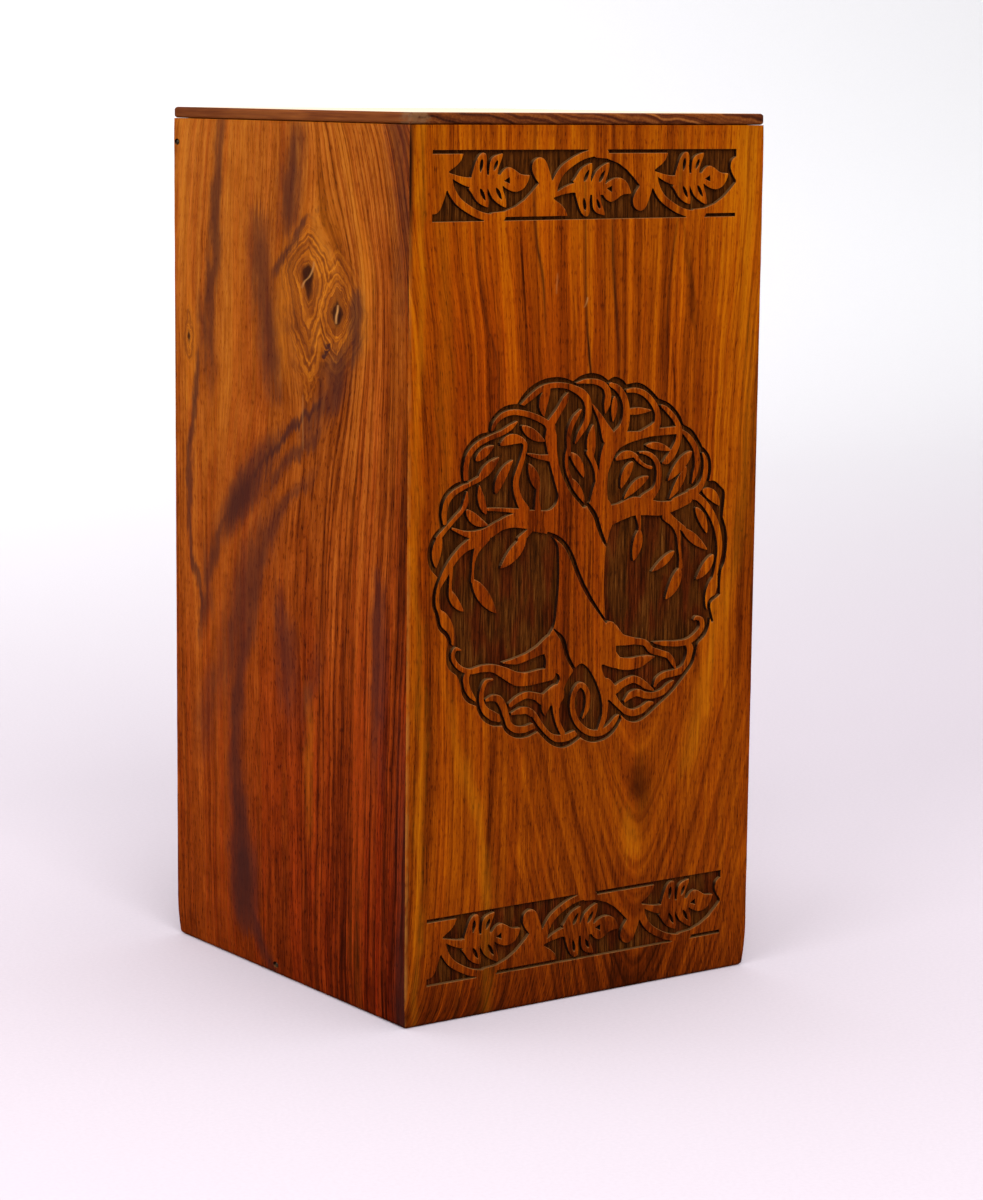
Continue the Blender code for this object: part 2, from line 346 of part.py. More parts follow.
def holds(outer, loop):
    """Whether the loop's first point lies inside the outer one."""
    (px, py), inside = loop[0], False
    for (ax, ay), (bx, by) in zip(outer, np.roll(outer, -1, 0)):
        if (ay > py) != (by > py) and px < (bx - ax) * (py - ay) / (by - ay) + ax:
            inside = not inside
    return inside


def simplified(loop, tolerance):
    """The outline's corners, leaving out points nearer than the tolerance to the line without them."""
    far = int(np.argmax(np.hypot(*(loop - loop[0]).T)))
    keep = {0, far}
    ring = np.vstack([loop, loop[:1]])
    spans = [(0, far), (far, len(loop))]
    while spans:
        a, b = spans.pop()
        if b - a < 2:
            continue
        v = ring[b] - ring[a]
        w = ring[a + 1:b] - ring[a]
        away = np.abs(v[0] * w[:, 1] - v[1] * w[:, 0]) / max(np.hypot(*v), 1e-9)
        k = int(np.argmax(away)) + a + 1
        if away[k - a - 1] > tolerance:
            keep.add(k)
            spans += [(a, k), (k, b)]
    return loop[sorted(keep)]


def pocket_outlines(field):
    """Each pocket's outline with those of its islands, in metres."""
    loops = [simplified(l, OUTLINE_TOLERANCE) for l in outlines(field) if abs(area(l)) > SMALLEST_POCKET]
    loops = sorted((l * MM for l in loops if len(l) > 2), key=lambda l: -abs(area(l)))
    pockets = [[l] for l in loops if area(l) > 0]
    for island in (l for l in loops if area(l) < 0):
        for pocket in reversed(pockets):
            if holds(pocket[0], island):
                pocket.append(island)
                break
    return pockets


# Modelling helpers

def material(name, colour, roughness, metallic=0.0):
    m = bpy.data.materials.new(name)
    m.use_nodes = True
    shader = m.node_tree.nodes["Principled BSDF"]
    shader.inputs["Base Color"].default_value = (*colour, 1)
    shader.inputs["Roughness"].default_value = roughness
    shader.inputs["Metallic"].default_value = metallic
    return m


def collection(name):
    c = bpy.data.collections.new(name)
    bpy.context.scene.collection.children.link(c)
    return c


def put_in(obj, home):
    for c in list(obj.users_collection):
        c.objects.unlink(obj)
    home.objects.link(obj)
    return obj


def prism(name, loops, thickness, place, home):
    """A flat outline of one or more closed loops, given its thickness and made a mesh.
    The outline lies in the local XY plane, the thickness half on each side of it."""
    curve = bpy.data.curves.new(name + "_outline", "CURVE")
    curve.dimensions = "2D"
    curve.fill_mode = "BOTH"
    curve.extrude = thickness / 2
    for loop in loops:
        s = curve.splines.new("POLY")
        s.points.add(len(loop) - 1)
        for point, (x, y) in zip(s.points, loop):
            point.co = (x, y, 0, 1)
        s.use_cyclic_u = True
    flat = bpy.data.objects.new(name + "_outline", curve)
    bpy.context.scene.collection.objects.link(flat)
    flat.matrix_world = place
    bpy.context.view_layer.update()
    mesh = bpy.data.meshes.new_from_object(flat.evaluated_get(bpy.context.evaluated_depsgraph_get()))
    bm = bmesh.new()
    bm.from_mesh(mesh)
    bmesh.ops.remove_doubles(bm, verts=bm.verts, dist=0.000001)
    bmesh.ops.recalc_face_normals(bm, faces=bm.faces)
    bm.to_mesh(mesh)
    bm.free()
    mesh.name = name
    obj = bpy.data.objects.new(name, mesh)
    obj.matrix_world = flat.matrix_world
    bpy.data.objects.remove(flat)
    home.objects.link(obj)
    return obj


def joined(name, pieces, home):
    """Several meshes that don't touch, made one object."""
    bm = bmesh.new()
    for piece in pieces:
        piece.data.transform(piece.matrix_world)
        bm.from_mesh(piece.data)
        bpy.data.objects.remove(piece)
    mesh = bpy.data.meshes.new(name)
    bm.to_mesh(mesh)
    bm.free()
    obj = bpy.data.objects.new(name, mesh)
    home.objects.link(obj)
    return obj


def as_cutter(obj):
    obj.hide_render = True
    obj.display_type = "WIRE"
    return put_in(obj, cutters)


def boolean(obj, other, operation):
    m = obj.modifiers.new(operation.lower(), "BOOLEAN")
    m.solver = "EXACT"
    m.operation = operation
    m.object = other


for old in list(bpy.data.objects):
    bpy.data.objects.remove(old, do_unlink=True)

parts = collection("carved_keepsake_box")
cutters = collection("cutters")

BOARD_WOOD = material("board_wood", (0.36, 0.10, 0.02), 0.42)
LID_WOOD = material("lid_wood", (0.30, 0.08, 0.02), 0.42)
FLOOR_WOOD = material("floor_wood", (0.22, 0.07, 0.02), 0.6)
BRAD_STEEL = material("brad_steel", (0.12, 0.10, 0.09), 0.5, 0.8)


# Wall boards: a board's section, its foot sanded in a little, kept within the mitred plan

def wall_section():
    """The section of a wall, local x outwards from the wall's inner face, local y up."""
    t = WALL
    foot = [(t - FOOT_TAPER - FOOT_ROUND * (1 - math.sin(a)), FOOT_ROUND * (1 - math.cos(a))) for a in (0, math.pi / 6, math.pi / 3, math.pi / 2)]
    return [(0, 0)] + foot + [(t - FOOT_TAPER * 0.3, FOOT_RISE * 0.5), (t, FOOT_RISE), (t, WALL_TOP), (0, WALL_TOP)]


def wall(name, span, across):
    """A board that faces local -Y, as long as span, with its outer face half of across from the middle."""
    s = GAP / 2 * math.sqrt(2)
    upright = Matrix(((0, 0, 1, 0), (-1, 0, 0, -(across / 2 - WALL)), (0, 1, 0, 0), (0, 0, 0, 1)))
    board = prism(name, [wall_section()], span + 0.01, upright, parts)
    out, inner = across / 2 + 0.001, across / 2 - WALL - 0.001
    diagonal = (span - across) / 2 - s
    plan = [(-out - diagonal, -out), (out + diagonal, -out), (inner + diagonal, -inner), (-inner - diagonal, -inner)]
    plan_piece = as_cutter(prism(name + "_plan", [plan], HEIGHT * 3, Matrix.Identity(4), parts))
    boolean(board, plan_piece, "INTERSECT")
    board.data.materials.append(BOARD_WOOD)
    return board, plan_piece


def turned(pair, angle):
    """Turns a wall and its cutter about the upright axis."""
    for obj in pair:
        obj.matrix_world = Matrix.Rotation(angle, 4, "Z") @ obj.matrix_world
    return pair[0]


front_board = turned(wall("front_board", WIDTH, DEPTH), 0)
back_board = turned(wall("back_board", WIDTH, DEPTH), math.pi)
left_board = turned(wall("left_board", DEPTH, WIDTH), -math.pi / 2)
right_board = turned(wall("right_board", DEPTH, WIDTH), math.pi / 2)

# Engraving: each pocket reaches from just outside the front face to the carving's depth
OUTSIDE = 0.001


def engrave(name, field, height):
    place = Matrix.Translation((CARVING_SHIFT, -DEPTH / 2 + (CARVE_DEPTH - OUTSIDE) / 2, height)) @ Matrix.Rotation(math.pi / 2, 4, "X")
    pockets = [prism(f"{name}_{k}", loops, CARVE_DEPTH + OUTSIDE, place, parts) for k, loops in enumerate(pocket_outlines(field))]
    cutter = as_cutter(joined(name, pockets, parts))
    boolean(front_board, cutter, "DIFFERENCE")


engrave("roundel_pockets", roundel_pockets(FIELD_STEP), ROUNDEL_HEIGHT)
scroll = scroll_pockets(FIELD_STEP)
for k, band_height in enumerate(BAND_HEIGHTS):
    engrave(f"scroll_pockets_{k}", scroll, band_height)

# Floor board, held between the walls
bpy.ops.mesh.primitive_cube_add(size=1, location=(0, 0, FLOOR / 2))
floor_board = put_in(bpy.context.object, parts)
floor_board.name = "floor_board"
floor_board.scale = (WIDTH - 2 * WALL - 2 * GAP, DEPTH - 2 * WALL - 2 * GAP, FLOOR)
bpy.ops.object.transform_apply(location=False, rotation=False, scale=True)
floor_board.data.materials.append(FLOOR_WOOD)

# Lid: a plate flush with the walls, its edges eased
bpy.ops.mesh.primitive_cube_add(size=1, location=(0, 0, HEIGHT - LID / 2))
lid = put_in(bpy.context.object, parts)
lid.name = "lid"
lid.scale = (WIDTH, DEPTH, LID)
bpy.ops.object.transform_apply(location=False, rotation=False, scale=True)
ease = lid.modifiers.new("eased_edges", "BEVEL")
ease.width = LID_ROUND
ease.segments = 3
ease.limit_method = "NONE"
lid.data.materials.append(LID_WOOD)

# Brads: one through each back mitre near the top, one through each side wall into the floor
BRADS = {
    "brad_mitre": (DEPTH / 2 - 0.0021, HEIGHT - 0.0103, (left_board, right_board, back_board)),
    "brad_floor": (DEPTH / 2 - 0.057, FLOOR / 2, (left_board, right_board, floor_board)),
}
for name, (y, z, boards) in BRADS.items():
    for side, mark in ((-1, "left"), (1, "right")):
        face = WIDTH / 2 - (FOOT_TAPER * 0.75 if z < FOOT_RISE else 0)
        x = side * (face - BRAD_LENGTH / 2)
        for radius, length, kind in ((BRAD_RADIUS, BRAD_LENGTH, "pin"), (BRAD_RADIUS + GAP, BRAD_LENGTH + 2 * GAP, "hole")):
            bpy.ops.mesh.primitive_cylinder_add(vertices=12, radius=radius, depth=length + (0.004 if kind == "hole" else 0),
                                                location=(x + side * (0.002 if kind == "hole" else 0), y, z), rotation=(0, math.pi / 2, 0))
            piece = bpy.context.object
            if kind == "pin":
                piece.name = f"{name}_{mark}"
                piece.data.materials.append(BRAD_STEEL)
                put_in(piece, parts)
            else:
                piece.name = f"{name}_{mark}_hole"
                as_cutter(piece)
                own = left_board if side < 0 else right_board
                for board in boards:
                    if board is own or board in (back_board, floor_board):
                        boolean(board, piece, "DIFFERENCE")
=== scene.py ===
"""A carved rosewood keepsake box, dressed over its CAD: four mitred boards, a lid
and four brads, with a tree-of-life roundel between two leaf-scroll bands
engraved in the front board."""
import json
import logging
import math
from dataclasses import dataclass, field
from enum import Enum
from typing import Optional, Protocol, Sequence, Union

import bmesh
import bpy
import numpy as np
from mathutils import Matrix, Vector, geometry, noise

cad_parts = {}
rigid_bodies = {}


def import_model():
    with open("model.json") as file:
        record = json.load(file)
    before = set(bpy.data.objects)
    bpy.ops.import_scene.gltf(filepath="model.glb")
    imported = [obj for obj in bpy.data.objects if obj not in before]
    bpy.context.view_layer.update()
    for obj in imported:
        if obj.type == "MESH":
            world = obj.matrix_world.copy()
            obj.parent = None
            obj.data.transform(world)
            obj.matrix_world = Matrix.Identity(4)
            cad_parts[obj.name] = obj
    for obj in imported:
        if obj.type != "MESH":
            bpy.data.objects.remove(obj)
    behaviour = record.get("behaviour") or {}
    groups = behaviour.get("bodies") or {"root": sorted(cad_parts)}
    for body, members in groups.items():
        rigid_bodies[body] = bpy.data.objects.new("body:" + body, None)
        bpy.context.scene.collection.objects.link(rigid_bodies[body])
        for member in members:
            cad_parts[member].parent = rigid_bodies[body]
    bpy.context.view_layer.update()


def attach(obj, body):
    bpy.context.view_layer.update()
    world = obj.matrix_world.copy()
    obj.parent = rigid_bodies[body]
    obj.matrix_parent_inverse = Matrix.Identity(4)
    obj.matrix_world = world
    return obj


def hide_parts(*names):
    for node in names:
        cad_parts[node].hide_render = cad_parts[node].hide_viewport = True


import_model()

log = logging.getLogger("keepsake_box")

Point = tuple[float, float]
Paint = tuple[int, int, int]
Points = Sequence[Point]
Stops = Sequence[tuple[float, Paint]]
MM = 0.001

# Sizes shared with the CAD, in millimetres
HEIGHT, WIDTH, DEPTH = 254.0, 124.0, 126.0
WALL, LID, GAP = 7.0, 3.2, 0.3
FOOT_TAPER, FOOT_RISE, FOOT_ROUND = 0.9, 12.0, 1.2
CARVE_DEPTH = 1.2
CARVING_SHIFT = -1.5
ROUNDEL_HEIGHT = 128.0
BAND_HEIGHTS = (21.2, 234.3)
WALL_TOP = HEIGHT - LID - GAP
MITRE_GAP = GAP / 2 * math.sqrt(2)

# How far off a drawing's edge is still told apart, in millimetres
FAR = 9.0

# The tables below are in millimetres, from the roundel's centre or the band's
# centre. A width list is spread evenly along its band.

# Rim grooves, clockwise: how many of the points bound the ground, then the points along the groove
RIM_WIDTHS = (0.9, 1.25, 1.3, 1.25, 0.8)
RIM = (
    (6, ((-49.9, -0.3), (-52.3, 2.6), (-53.1, 6), (-52.1, 9.6), (-50.2, 12), (-48.3, 13.4))),
    (6, ((-49.2, 13.4), (-49.5, 17.5), (-48.4, 21.2), (-46, 23.6), (-43.2, 24.9), (-40.3, 25.3))),
    (6, ((-42.2, 25.6), (-42.4, 29.5), (-41.4, 33.2), (-39.2, 35.9), (-36.3, 37.7), (-33.2, 38.4))),
    (5, ((-33.4, 38.6), (-32.6, 41.3), (-30, 43.9), (-27, 45.2), (-23.5, 45.4), (-21, 44.9))),
    (7, ((-23.5, 45.7), (-21.2, 48.4), (-18, 50.6), (-14, 52), (-10, 52.3), (-6.5, 51.7),
     (-3.6, 50.6))),
    (5, ((-4.2, 51.2), (-1.5, 52.4), (2, 52.9), (5.3, 52.2), (8, 50.7))),
    (4, ((8.3, 50.9), (10.4, 51.5), (12.8, 50.6), (14.7, 49))),
    (4, ((14.8, 49.4), (19, 49.4), (22.6, 47.6), (26.6, 44.4))),
    (4, ((26.8, 44.6), (30.4, 42.8), (33.5, 39.9), (35.4, 36.8))),
    (4, ((35.7, 36.7), (38.8, 34.8), (41.5, 31.4), (42.8, 29.4))),
    (4, ((43, 29.8), (45, 27.4), (45.7, 24), (45.2, 19.8))),
    (6, ((44.4, 19.4), (47.2, 19.6), (49.9, 17.6), (51, 16.2), (50.8, 12), (50.5, 8.3))),
    (7, ((50.6, 9.2), (51.9, 5.5), (52.3, 1), (51.6, -3.8), (50.4, -6.4), (50.1, -10), (50.3, -13.4))),
    (3, ((50, -13.6), (47, -15.2), (46.5, -17.5), (47.9, -21.3))),
    (14, ((46.6, -18.5), (46.4, -22), (45, -25), (42.3, -27.2), (41.4, -30), (40.4, -33), (38, -35.8),
     (35, -38.8), (31.9, -41.4), (28, -43.9), (24, -46.6), (20.6, -48), (17.2, -47.4),
     (14.6, -45.4), (10, -41.4))),
    (5, ((14.4, -47), (12, -50), (9, -51.8), (5, -52.3), (1.5, -51.2), (-1.5, -48.6), (-3.6, -45))),
    (6, ((-0.6, -50.9), (-4, -52.4), (-7, -52.6), (-10.4, -51.2), (-13.4, -48.7), (-15.6, -46.2),
     (-17.5, -43.4))),
    (4, ((-15.4, -47.2), (-19, -48.2), (-23, -47.9), (-26.3, -45.8), (-27.6, -42.8), (-28.6, -40.4))),
    (4, ((-28, -44.2), (-31, -43.6), (-34, -41.8), (-36, -38.6), (-36.6, -35))),
    (14, ((-36.4, -37.7), (-39.5, -36.2), (-41.1, -34), (-41.8, -31), (-43, -28.4), (-45.8, -26),
     (-46.5, -23), (-46, -19.5), (-46.9, -17), (-49.3, -14.6), (-50.3, -11), (-51.5, -8),
     (-51.2, -4), (-49.6, -0.2))),
)
# Grooves cut into the motif itself: widths, then points
GROOVES = (
    ((0.8, 1.4, 1.6, 1.5, 1.4, 0.7), ((-12.5, 9), (-9.4, 7.6), (-6.3, 5.1), (-4, 1.6), (-2, -2.8),
     (0.5, -7.4), (3.7, -12.1), (8.6, -18.2))),
    ((0.8, 1.5, 1.6, 1.3, 0.6), ((0.4, 17.2), (2.2, 15.3), (4.2, 12.6), (5.7, 8.8), (7.3, 5.5),
     (8.6, 3.6))),
    ((0.4, 1.6, 1.4, 1), ((-10, -18.6), (-6.8, -22), (-5, -27), (-2.2, -31.4))),
)
# Bands and limbs of the motif: widths, then points
BANDS = (
    ((0.9, 1.6, 1.7, 1.5, 1.5, 1.8, 2.4, 2.5, 2.1, 2, 1.6, 0.5), ((-22.2, 45.5), (-19, 47.7),
     (-15.5, 49.8), (-12, 50.6), (-8, 50.5), (-4.6, 49.6), (-1.2, 47.9), (0.8, 45.5), (1.1, 42),
     (0.1, 39), (-1.8, 36.5), (-3.3, 34))),
    ((0.9, 1.4, 1.5, 1.5, 1.6, 1.7, 1.8, 3), ((-32.2, 39.3), (-30.9, 41.5), (-28.3, 43.2), (-25, 43.8),
     (-21, 43.2), (-17, 41.9), (-13.7, 40.3), (-12, 38.8))),
    ((1.6, 1.9, 1.7, 1.5, 1.4, 1.5, 1.6, 0.5), ((-40.9, 26), (-41.1, 29), (-40.1, 32.4), (-37.4, 35.2),
     (-33.5, 36.9), (-29, 38.2), (-26, 39.6), (-23.8, 41))),
    ((1.3, 1.9, 1.9, 1.6, 1.4, 1.3, 1.5), ((-47.9, 14.4), (-48.1, 17), (-47.4, 19.9), (-45.3, 22.2),
     (-42, 23.8), (-38.5, 25), (-36, 26))),
    ((2.6, 2, 2.1, 0.8), ((-12, 40), (-9.3, 43.3), (-7.2, 46.2), (-6.2, 48))),
    ((0.6, 1.6, 1.7, 1.5, 1.2), ((-1.5, 43.2), (-3.4, 41.2), (-5, 38.6), (-5.7, 35.6), (-5.4, 31))),
    ((1.2, 1.1, 1.2, 1.2), ((-5.6, 33), (-6.4, 30), (-6, 26.5), (-4.6, 23.4))),
    ((2, 4, 3, 2.7, 3.7, 5.6, 10), ((-12.2, 40), (-11.9, 36), (-11.2, 31), (-9.6, 25.5), (-7.3, 20.3),
     (-6, 17), (-4, 12))),
    ((1.4, 1.3, 1.4, 1.7, 1.9, 2, 2.2, 3), ((-22.4, 36.2), (-20.8, 34.5), (-21.4, 31.5), (-22.7, 28),
     (-23.8, 25), (-23.7, 22), (-22.6, 19), (-20.6, 16))),
    ((1.9, 1.3, 1, 0.4), ((-12.3, 30.3), (-15.5, 30.7), (-18, 31.3), (-19.9, 31.9))),
    ((0.8, 1.3, 2.2), ((-16.2, 22.5), (-16.4, 19), (-16.2, 16))),
    ((1.8, 1.1, 1, 0.8), ((-21, 15.6), (-26, 16.4), (-30, 16.9), (-33.6, 17.2))),
    ((1.6, 1.3, 1.2, 1.2, 1.7, 0.5), ((-50, 10.3), (-47.5, 12.6), (-44.5, 15.3), (-42, 17.5),
     (-40.8, 19.8), (-40.5, 22.4))),
    ((6, 5.2, 3.8, 3, 3.4, 2.6, 1.5, 0.6), ((-13, 12.4), (-20, 13.4), (-25, 13.4), (-29, 12.4),
     (-33, 10.7), (-37, 10.2), (-41, 10.9), (-45.3, 12.6))),
    ((4, 2.6, 2.2, 2.2, 2, 1.2, 1.2, 1.3, 1.5), ((-36, 9), (-40.5, 7.3), (-43.7, 5), (-46.2, 2.2),
     (-48, -0.5), (-49.7, -3.5), (-50.2, -6.5), (-49.8, -9.5), (-48.7, -11.5))),
    ((1.5, 0.9, 0.9, 1.4), ((-45.8, 2), (-45.7, -1), (-45.9, -4), (-45.6, -6))),
    ((4, 1.8, 0.9, 0.7, 1), ((-34.5, 9.6), (-37, 6), (-38, 3), (-38.3, 0), (-38.4, -2.6))),
    ((1.6, 2.2), ((-18.6, 10.4), (-22, 7.8))),
    ((2, 1.4, 1.4, 2.2), ((1.6, 31), (3.2, 28.2), (4.4, 25.4), (5.2, 22))),
    ((7, 5, 3.2, 4.6, 5.4, 3.4, 2.2, 3.4), ((5.2, 15), (5.7, 20), (6.8, 25), (8, 29.5), (10.2, 33.2),
     (15, 34.5), (20, 35), (25, 36.4))),
    ((2.2, 2.1, 2.2), ((24, 35.5), (29, 35.6), (33.4, 35.7))),
    ((4.4, 2.8, 1.6, 0.3), ((8.4, 35.2), (6.9, 38), (5.2, 41), (2.5, 44.7))),
    ((1.2, 1.9, 2, 2.2, 2.6, 3.4, 4.4), ((8.9, 50), (11.4, 48.8), (13.5, 46.5), (14.6, 43.5),
     (14.6, 40), (13.5, 37), (11.5, 34.6))),
    ((0.4, 1.3, 1.6, 1.9, 2.2, 2.2, 0.4), ((-3.2, 50.9), (0, 51.3), (4, 50.9), (6.9, 49.5), (8, 47.2),
     (7.7, 44.5), (7.2, 42))),
    ((1, 1.5, 1.7, 1.8, 1.9, 2.4, 3), ((15, 47.9), (18, 47.9), (21.5, 46.6), (24.5, 43.8), (26, 41),
     (26, 38), (24.5, 36.4))),
    ((0.8, 1.8, 1.9, 2.1, 2, 2.4, 2.2, 0.5), ((27.6, 43), (30.3, 41.3), (33, 38.5), (34.2, 35.5),
     (33.7, 32.3), (32, 29.3), (30, 27.2), (28.3, 26.5))),
    ((0.8, 1.6, 1.8, 1.9, 1.7, 1.6, 0.4), ((35.2, 35.4), (37.6, 33.5), (39.9, 30.8), (40.9, 28),
     (41, 25), (40.3, 22.5), (39.3, 20))),
    ((0.6, 1.5, 1.7, 1.9, 2.2, 2.4, 3), ((43.1, 28.4), (44.2, 26), (44.1, 22.5), (43.2, 20),
     (41.5, 18), (38, 16.4), (33, 14.6))),
    ((1.3, 1, 0.9, 0.9), ((17.8, 29.4), (19.8, 27.4), (22, 26), (24, 25.4))),
    ((0.5, 1.2, 1.4, 1.7, 1.9, 2, 2.4, 4), ((19.8, 30), (22.5, 29.6), (25, 28.2), (26.5, 26), (27, 23),
     (26.6, 20.5), (25.4, 18.4), (22, 16))),
    ((6, 5, 5.4, 4.6, 4, 3, 2.8), ((8, 12.2), (13, 13.3), (18, 14.6), (23, 14), (28, 13.3), (33, 13.9),
     (38, 15.4))),
    ((1.8, 0.8, 0.8, 1), ((19.6, 12), (20.2, 8.8), (20.1, 7.2), (20, 5.6))),
    ((3, 2.2, 1.5, 1, 0.9, 1.4), ((30, 11), (33, 8.4), (34.5, 5.5), (35, 2), (35.5, -1.5),
     (35.6, -4.4))),
    ((2.4, 1.9, 1.6), ((31, 10.4), (34, 8.3), (36.6, 6.7))),
    ((3, 2, 2, 2.1, 2.1, 2, 1.7, 1.4, 1.3, 1.6), ((39, 16.8), (41.7, 15.6), (44.5, 13.3), (47, 10.2),
     (48.8, 6.8), (49.9, 3), (50.2, -0.5), (49.6, -4), (48.8, -7.5), (48, -10))),
    ((5, 2.9, 2.1, 2, 0.4), ((-11, -22.6), (-15, -24.2), (-19, -25.6), (-23, -26.5), (-27.6, -26.6))),
    ((3.5, 4, 3.8, 3.9, 3.2, 2.2, 1.9, 1.5, 1.4, 1.3, 1.3, 1.1, 0.4), ((-11, -31.5), (-15, -31.7),
     (-19, -32.1), (-23, -31.6), (-27, -29.6), (-31, -27.9), (-35, -27.6), (-38.8, -28),
     (-42, -26.9), (-44.2, -24.8), (-44.8, -22.8), (-43.9, -21.2), (-42.2, -21.6))),
    ((1.6, 2, 1.9, 1.5, 0.5), ((-39.6, -28), (-40.3, -30), (-39.9, -32.5), (-38.4, -34.9),
     (-36.8, -36.6))),
    ((6, 3.4, 2.1, 1.9, 1.9, 1.4), ((-9, -37.6), (-13, -38.6), (-16, -37.4), (-19.3, -36.7),
     (-22.3, -37.5), (-24.8, -38.9))),
    ((3.6, 2.4, 0.3), ((-12.2, -39.2), (-12.7, -41.2), (-12.7, -43.2))),
    ((2.6, 1.9, 1.5, 1.6), ((-9, -40), (-8.8, -43), (-8, -46), (-6.4, -49))),
    ((0.6, 1.2, 1.4, 1.5, 2.2, 2.7, 2), ((-31.3, -31), (-33.5, -31.5), (-34.8, -34), (-34.9, -37),
     (-33.6, -39.6), (-31, -41.4), (-28.8, -42.4))),
    ((0.8, 1.8, 2.1, 2.2, 2, 2, 2, 1.9, 1.8, 0.8), ((-33.2, -36.7), (-31, -36.3), (-29, -36.9),
     (-27.5, -38.9), (-26.5, -41.5), (-25.5, -44.3), (-23.4, -46), (-20, -46.5), (-17.2, -45.9),
     (-15.6, -46))),
    ((0.8, 2, 2, 2, 2, 1.9, 1.9, 2, 2.2, 1.8), ((-24.3, -41.5), (-21.5, -41), (-19, -41.2),
     (-17, -42.5), (-15.1, -45), (-13, -47.6), (-10.6, -49.6), (-7.6, -50.5), (-4.6, -50.4),
     (-2, -49.6))),
    ((0.6, 1.5, 1.7, 1.6, 1.6, 1.6, 1.7, 1.8, 1.8, 1.8, 1.8, 1.9, 1.9, 1.5, 0.6), ((0.8, -45.3),
     (2.1, -43), (2.6, -40), (1.8, -37.2), (-0.3, -35.6), (-2.3, -37.4), (-3.1, -40.5),
     (-2.6, -43.8), (-1.1, -46.6), (1.4, -48.9), (4.4, -50.2), (7.5, -50.3), (10.4, -49.1),
     (12.6, -47), (13.6, -46))),
    ((3.4, 2.2, 1.9, 1.8, 1.5), ((9, -38.6), (8.8, -42), (8.7, -45), (7.9, -47.4), (6.9, -49.6))),
    ((7, 3.4, 1.9, 1.8, 1.9, 1.8, 1.7, 1.6, 0.5), ((9.6, -21.6), (14, -23.8), (19, -24.7), (23, -25.6),
     (25.2, -27.8), (28.5, -29), (31.5, -30.1), (33.3, -32), (34.4, -34.2))),
    ((0.5, 1.5, 1.7, 1.8, 1.9, 1.8, 1.5, 1.2, 0.4), ((26.2, -25.8), (30, -26.4), (35, -26.9),
     (39, -26.6), (42, -25.1), (44, -22.9), (43.8, -20.7), (42, -19.9), (41, -20.4))),
    ((2, 2.4, 2.4, 2.2, 2, 2, 1.8, 0.9), ((38.9, -27), (39.9, -29.4), (39.2, -32.2), (37.4, -34.6),
     (34, -35.5), (30.5, -35.8), (28, -36.9), (26.8, -38.6))),
    ((6, 3.4, 3.5, 3.4, 2, 0.4), ((9, -27.8), (13, -30.4), (17, -31.2), (21, -31), (24, -30.3),
     (26.4, -30))),
    ((4.4, 2.6, 2, 2.1, 2.1, 1.9, 0.6), ((9, -36.8), (12, -38.3), (15, -36.9), (18.5, -35.9),
     (21, -36.6), (23.5, -38.2), (26.2, -39.8))),
    ((0.8, 2, 2.1, 2, 1.8, 1.9, 1.8, 0.8), ((16, -42), (18, -40.5), (20.5, -40), (23, -40.9),
     (26, -41.4), (29.5, -40.8), (32, -39.2), (33.6, -38))),
    ((3.6, 2.4, 1.9, 2, 2.2, 1.8, 0.7), ((9.8, -38.6), (12.4, -41.8), (15.2, -44.3), (18.5, -45.7),
     (22, -45.3), (24.5, -43.9), (26.2, -43.6))),
)
# Leaves of the motif: foot, tip, width, and how far the middle bows to the left of the way to the tip
LEAVES = (
    ((-12.6, 50), (-14.4, 42), 3.1, -1.2), ((-22, 39.8), (-14, 35.1), 2.9, -0.3),
    ((-29.4, 34.8), (-20.6, 35), 2.9, 1.4), ((-37.6, 31), (-31.5, 34.9), 2.6, 0.2),
    ((-36.6, 25.7), (-29.7, 31.5), 2.9, 0.1), ((-16.1, 21.6), (-19.6, 29.2), 3.1, -0.2),
    ((-30.8, 21.3), (-24.9, 30.5), 2.9, 0.8), ((-33.9, 15.8), (-36.4, 24.2), 2.3, 0.5),
    ((-40.6, 17.6), (-33.3, 12.8), 2.9, -0.9), ((-49.2, 10.9), (-50.7, 2), 3.1, -0.6),
    ((-20.3, 8.4), (-28.9, 0.3), 3.7, 0.4), ((-46.1, -4.4), (-41.3, -10.8), 2.5, -0.6),
    ((-49.4, -9.9), (-44.7, -20.2), 3.6, 0.4), ((-38.2, -2.2), (-30.1, -12.3), 3.9, -0.3),
    ((-5.1, 31.3), (-0.2, 24), 2.7, 0.7), ((-5.4, 24.3), (0.3, 16.6), 2.3, 0.4),
    ((2.6, 29.2), (3, 39), 3.1, 0.5), ((10.3, 46.6), (9.9, 39.3), 2.1, 0.2),
    ((13.6, 41.8), (23.8, 41.9), 2.0, 0.1), ((21.9, 31.9), (31.4, 29.8), 2.2, 0.5),
    ((11, 28.3), (19.4, 28.8), 2.3, 1.1), ((17.3, 27.5), (13.2, 20), 2.9, -0.4),
    ((23.2, 22.9), (14.3, 16.9), 2.7, -0.6), ((39, 29.3), (30.3, 21.2), 3.3, -0.1),
    ((37, 25), (30.8, 15.8), 2.6, 0.5), ((20.2, 7.6), (18.1, -1.2), 3.3, 0.3),
    ((35.4, -4.6), (30.2, -13.4), 3.6, 0.7), ((33.2, 0.6), (24.9, -4.9), 2.3, 0.3),
    ((35.8, 7), (45.5, 0), 2.8, -0.1), ((40.8, 12.7), (45.2, 4.8), 2.7, 0.5),
    ((43.3, 17.6), (49.7, 12.6), 3.2, 0.9), ((49.3, -7.8), (45.8, -17.8), 3.7, -0.4),
    ((47.8, -1.6), (41.5, -8.5), 3.1, 0.5),
)
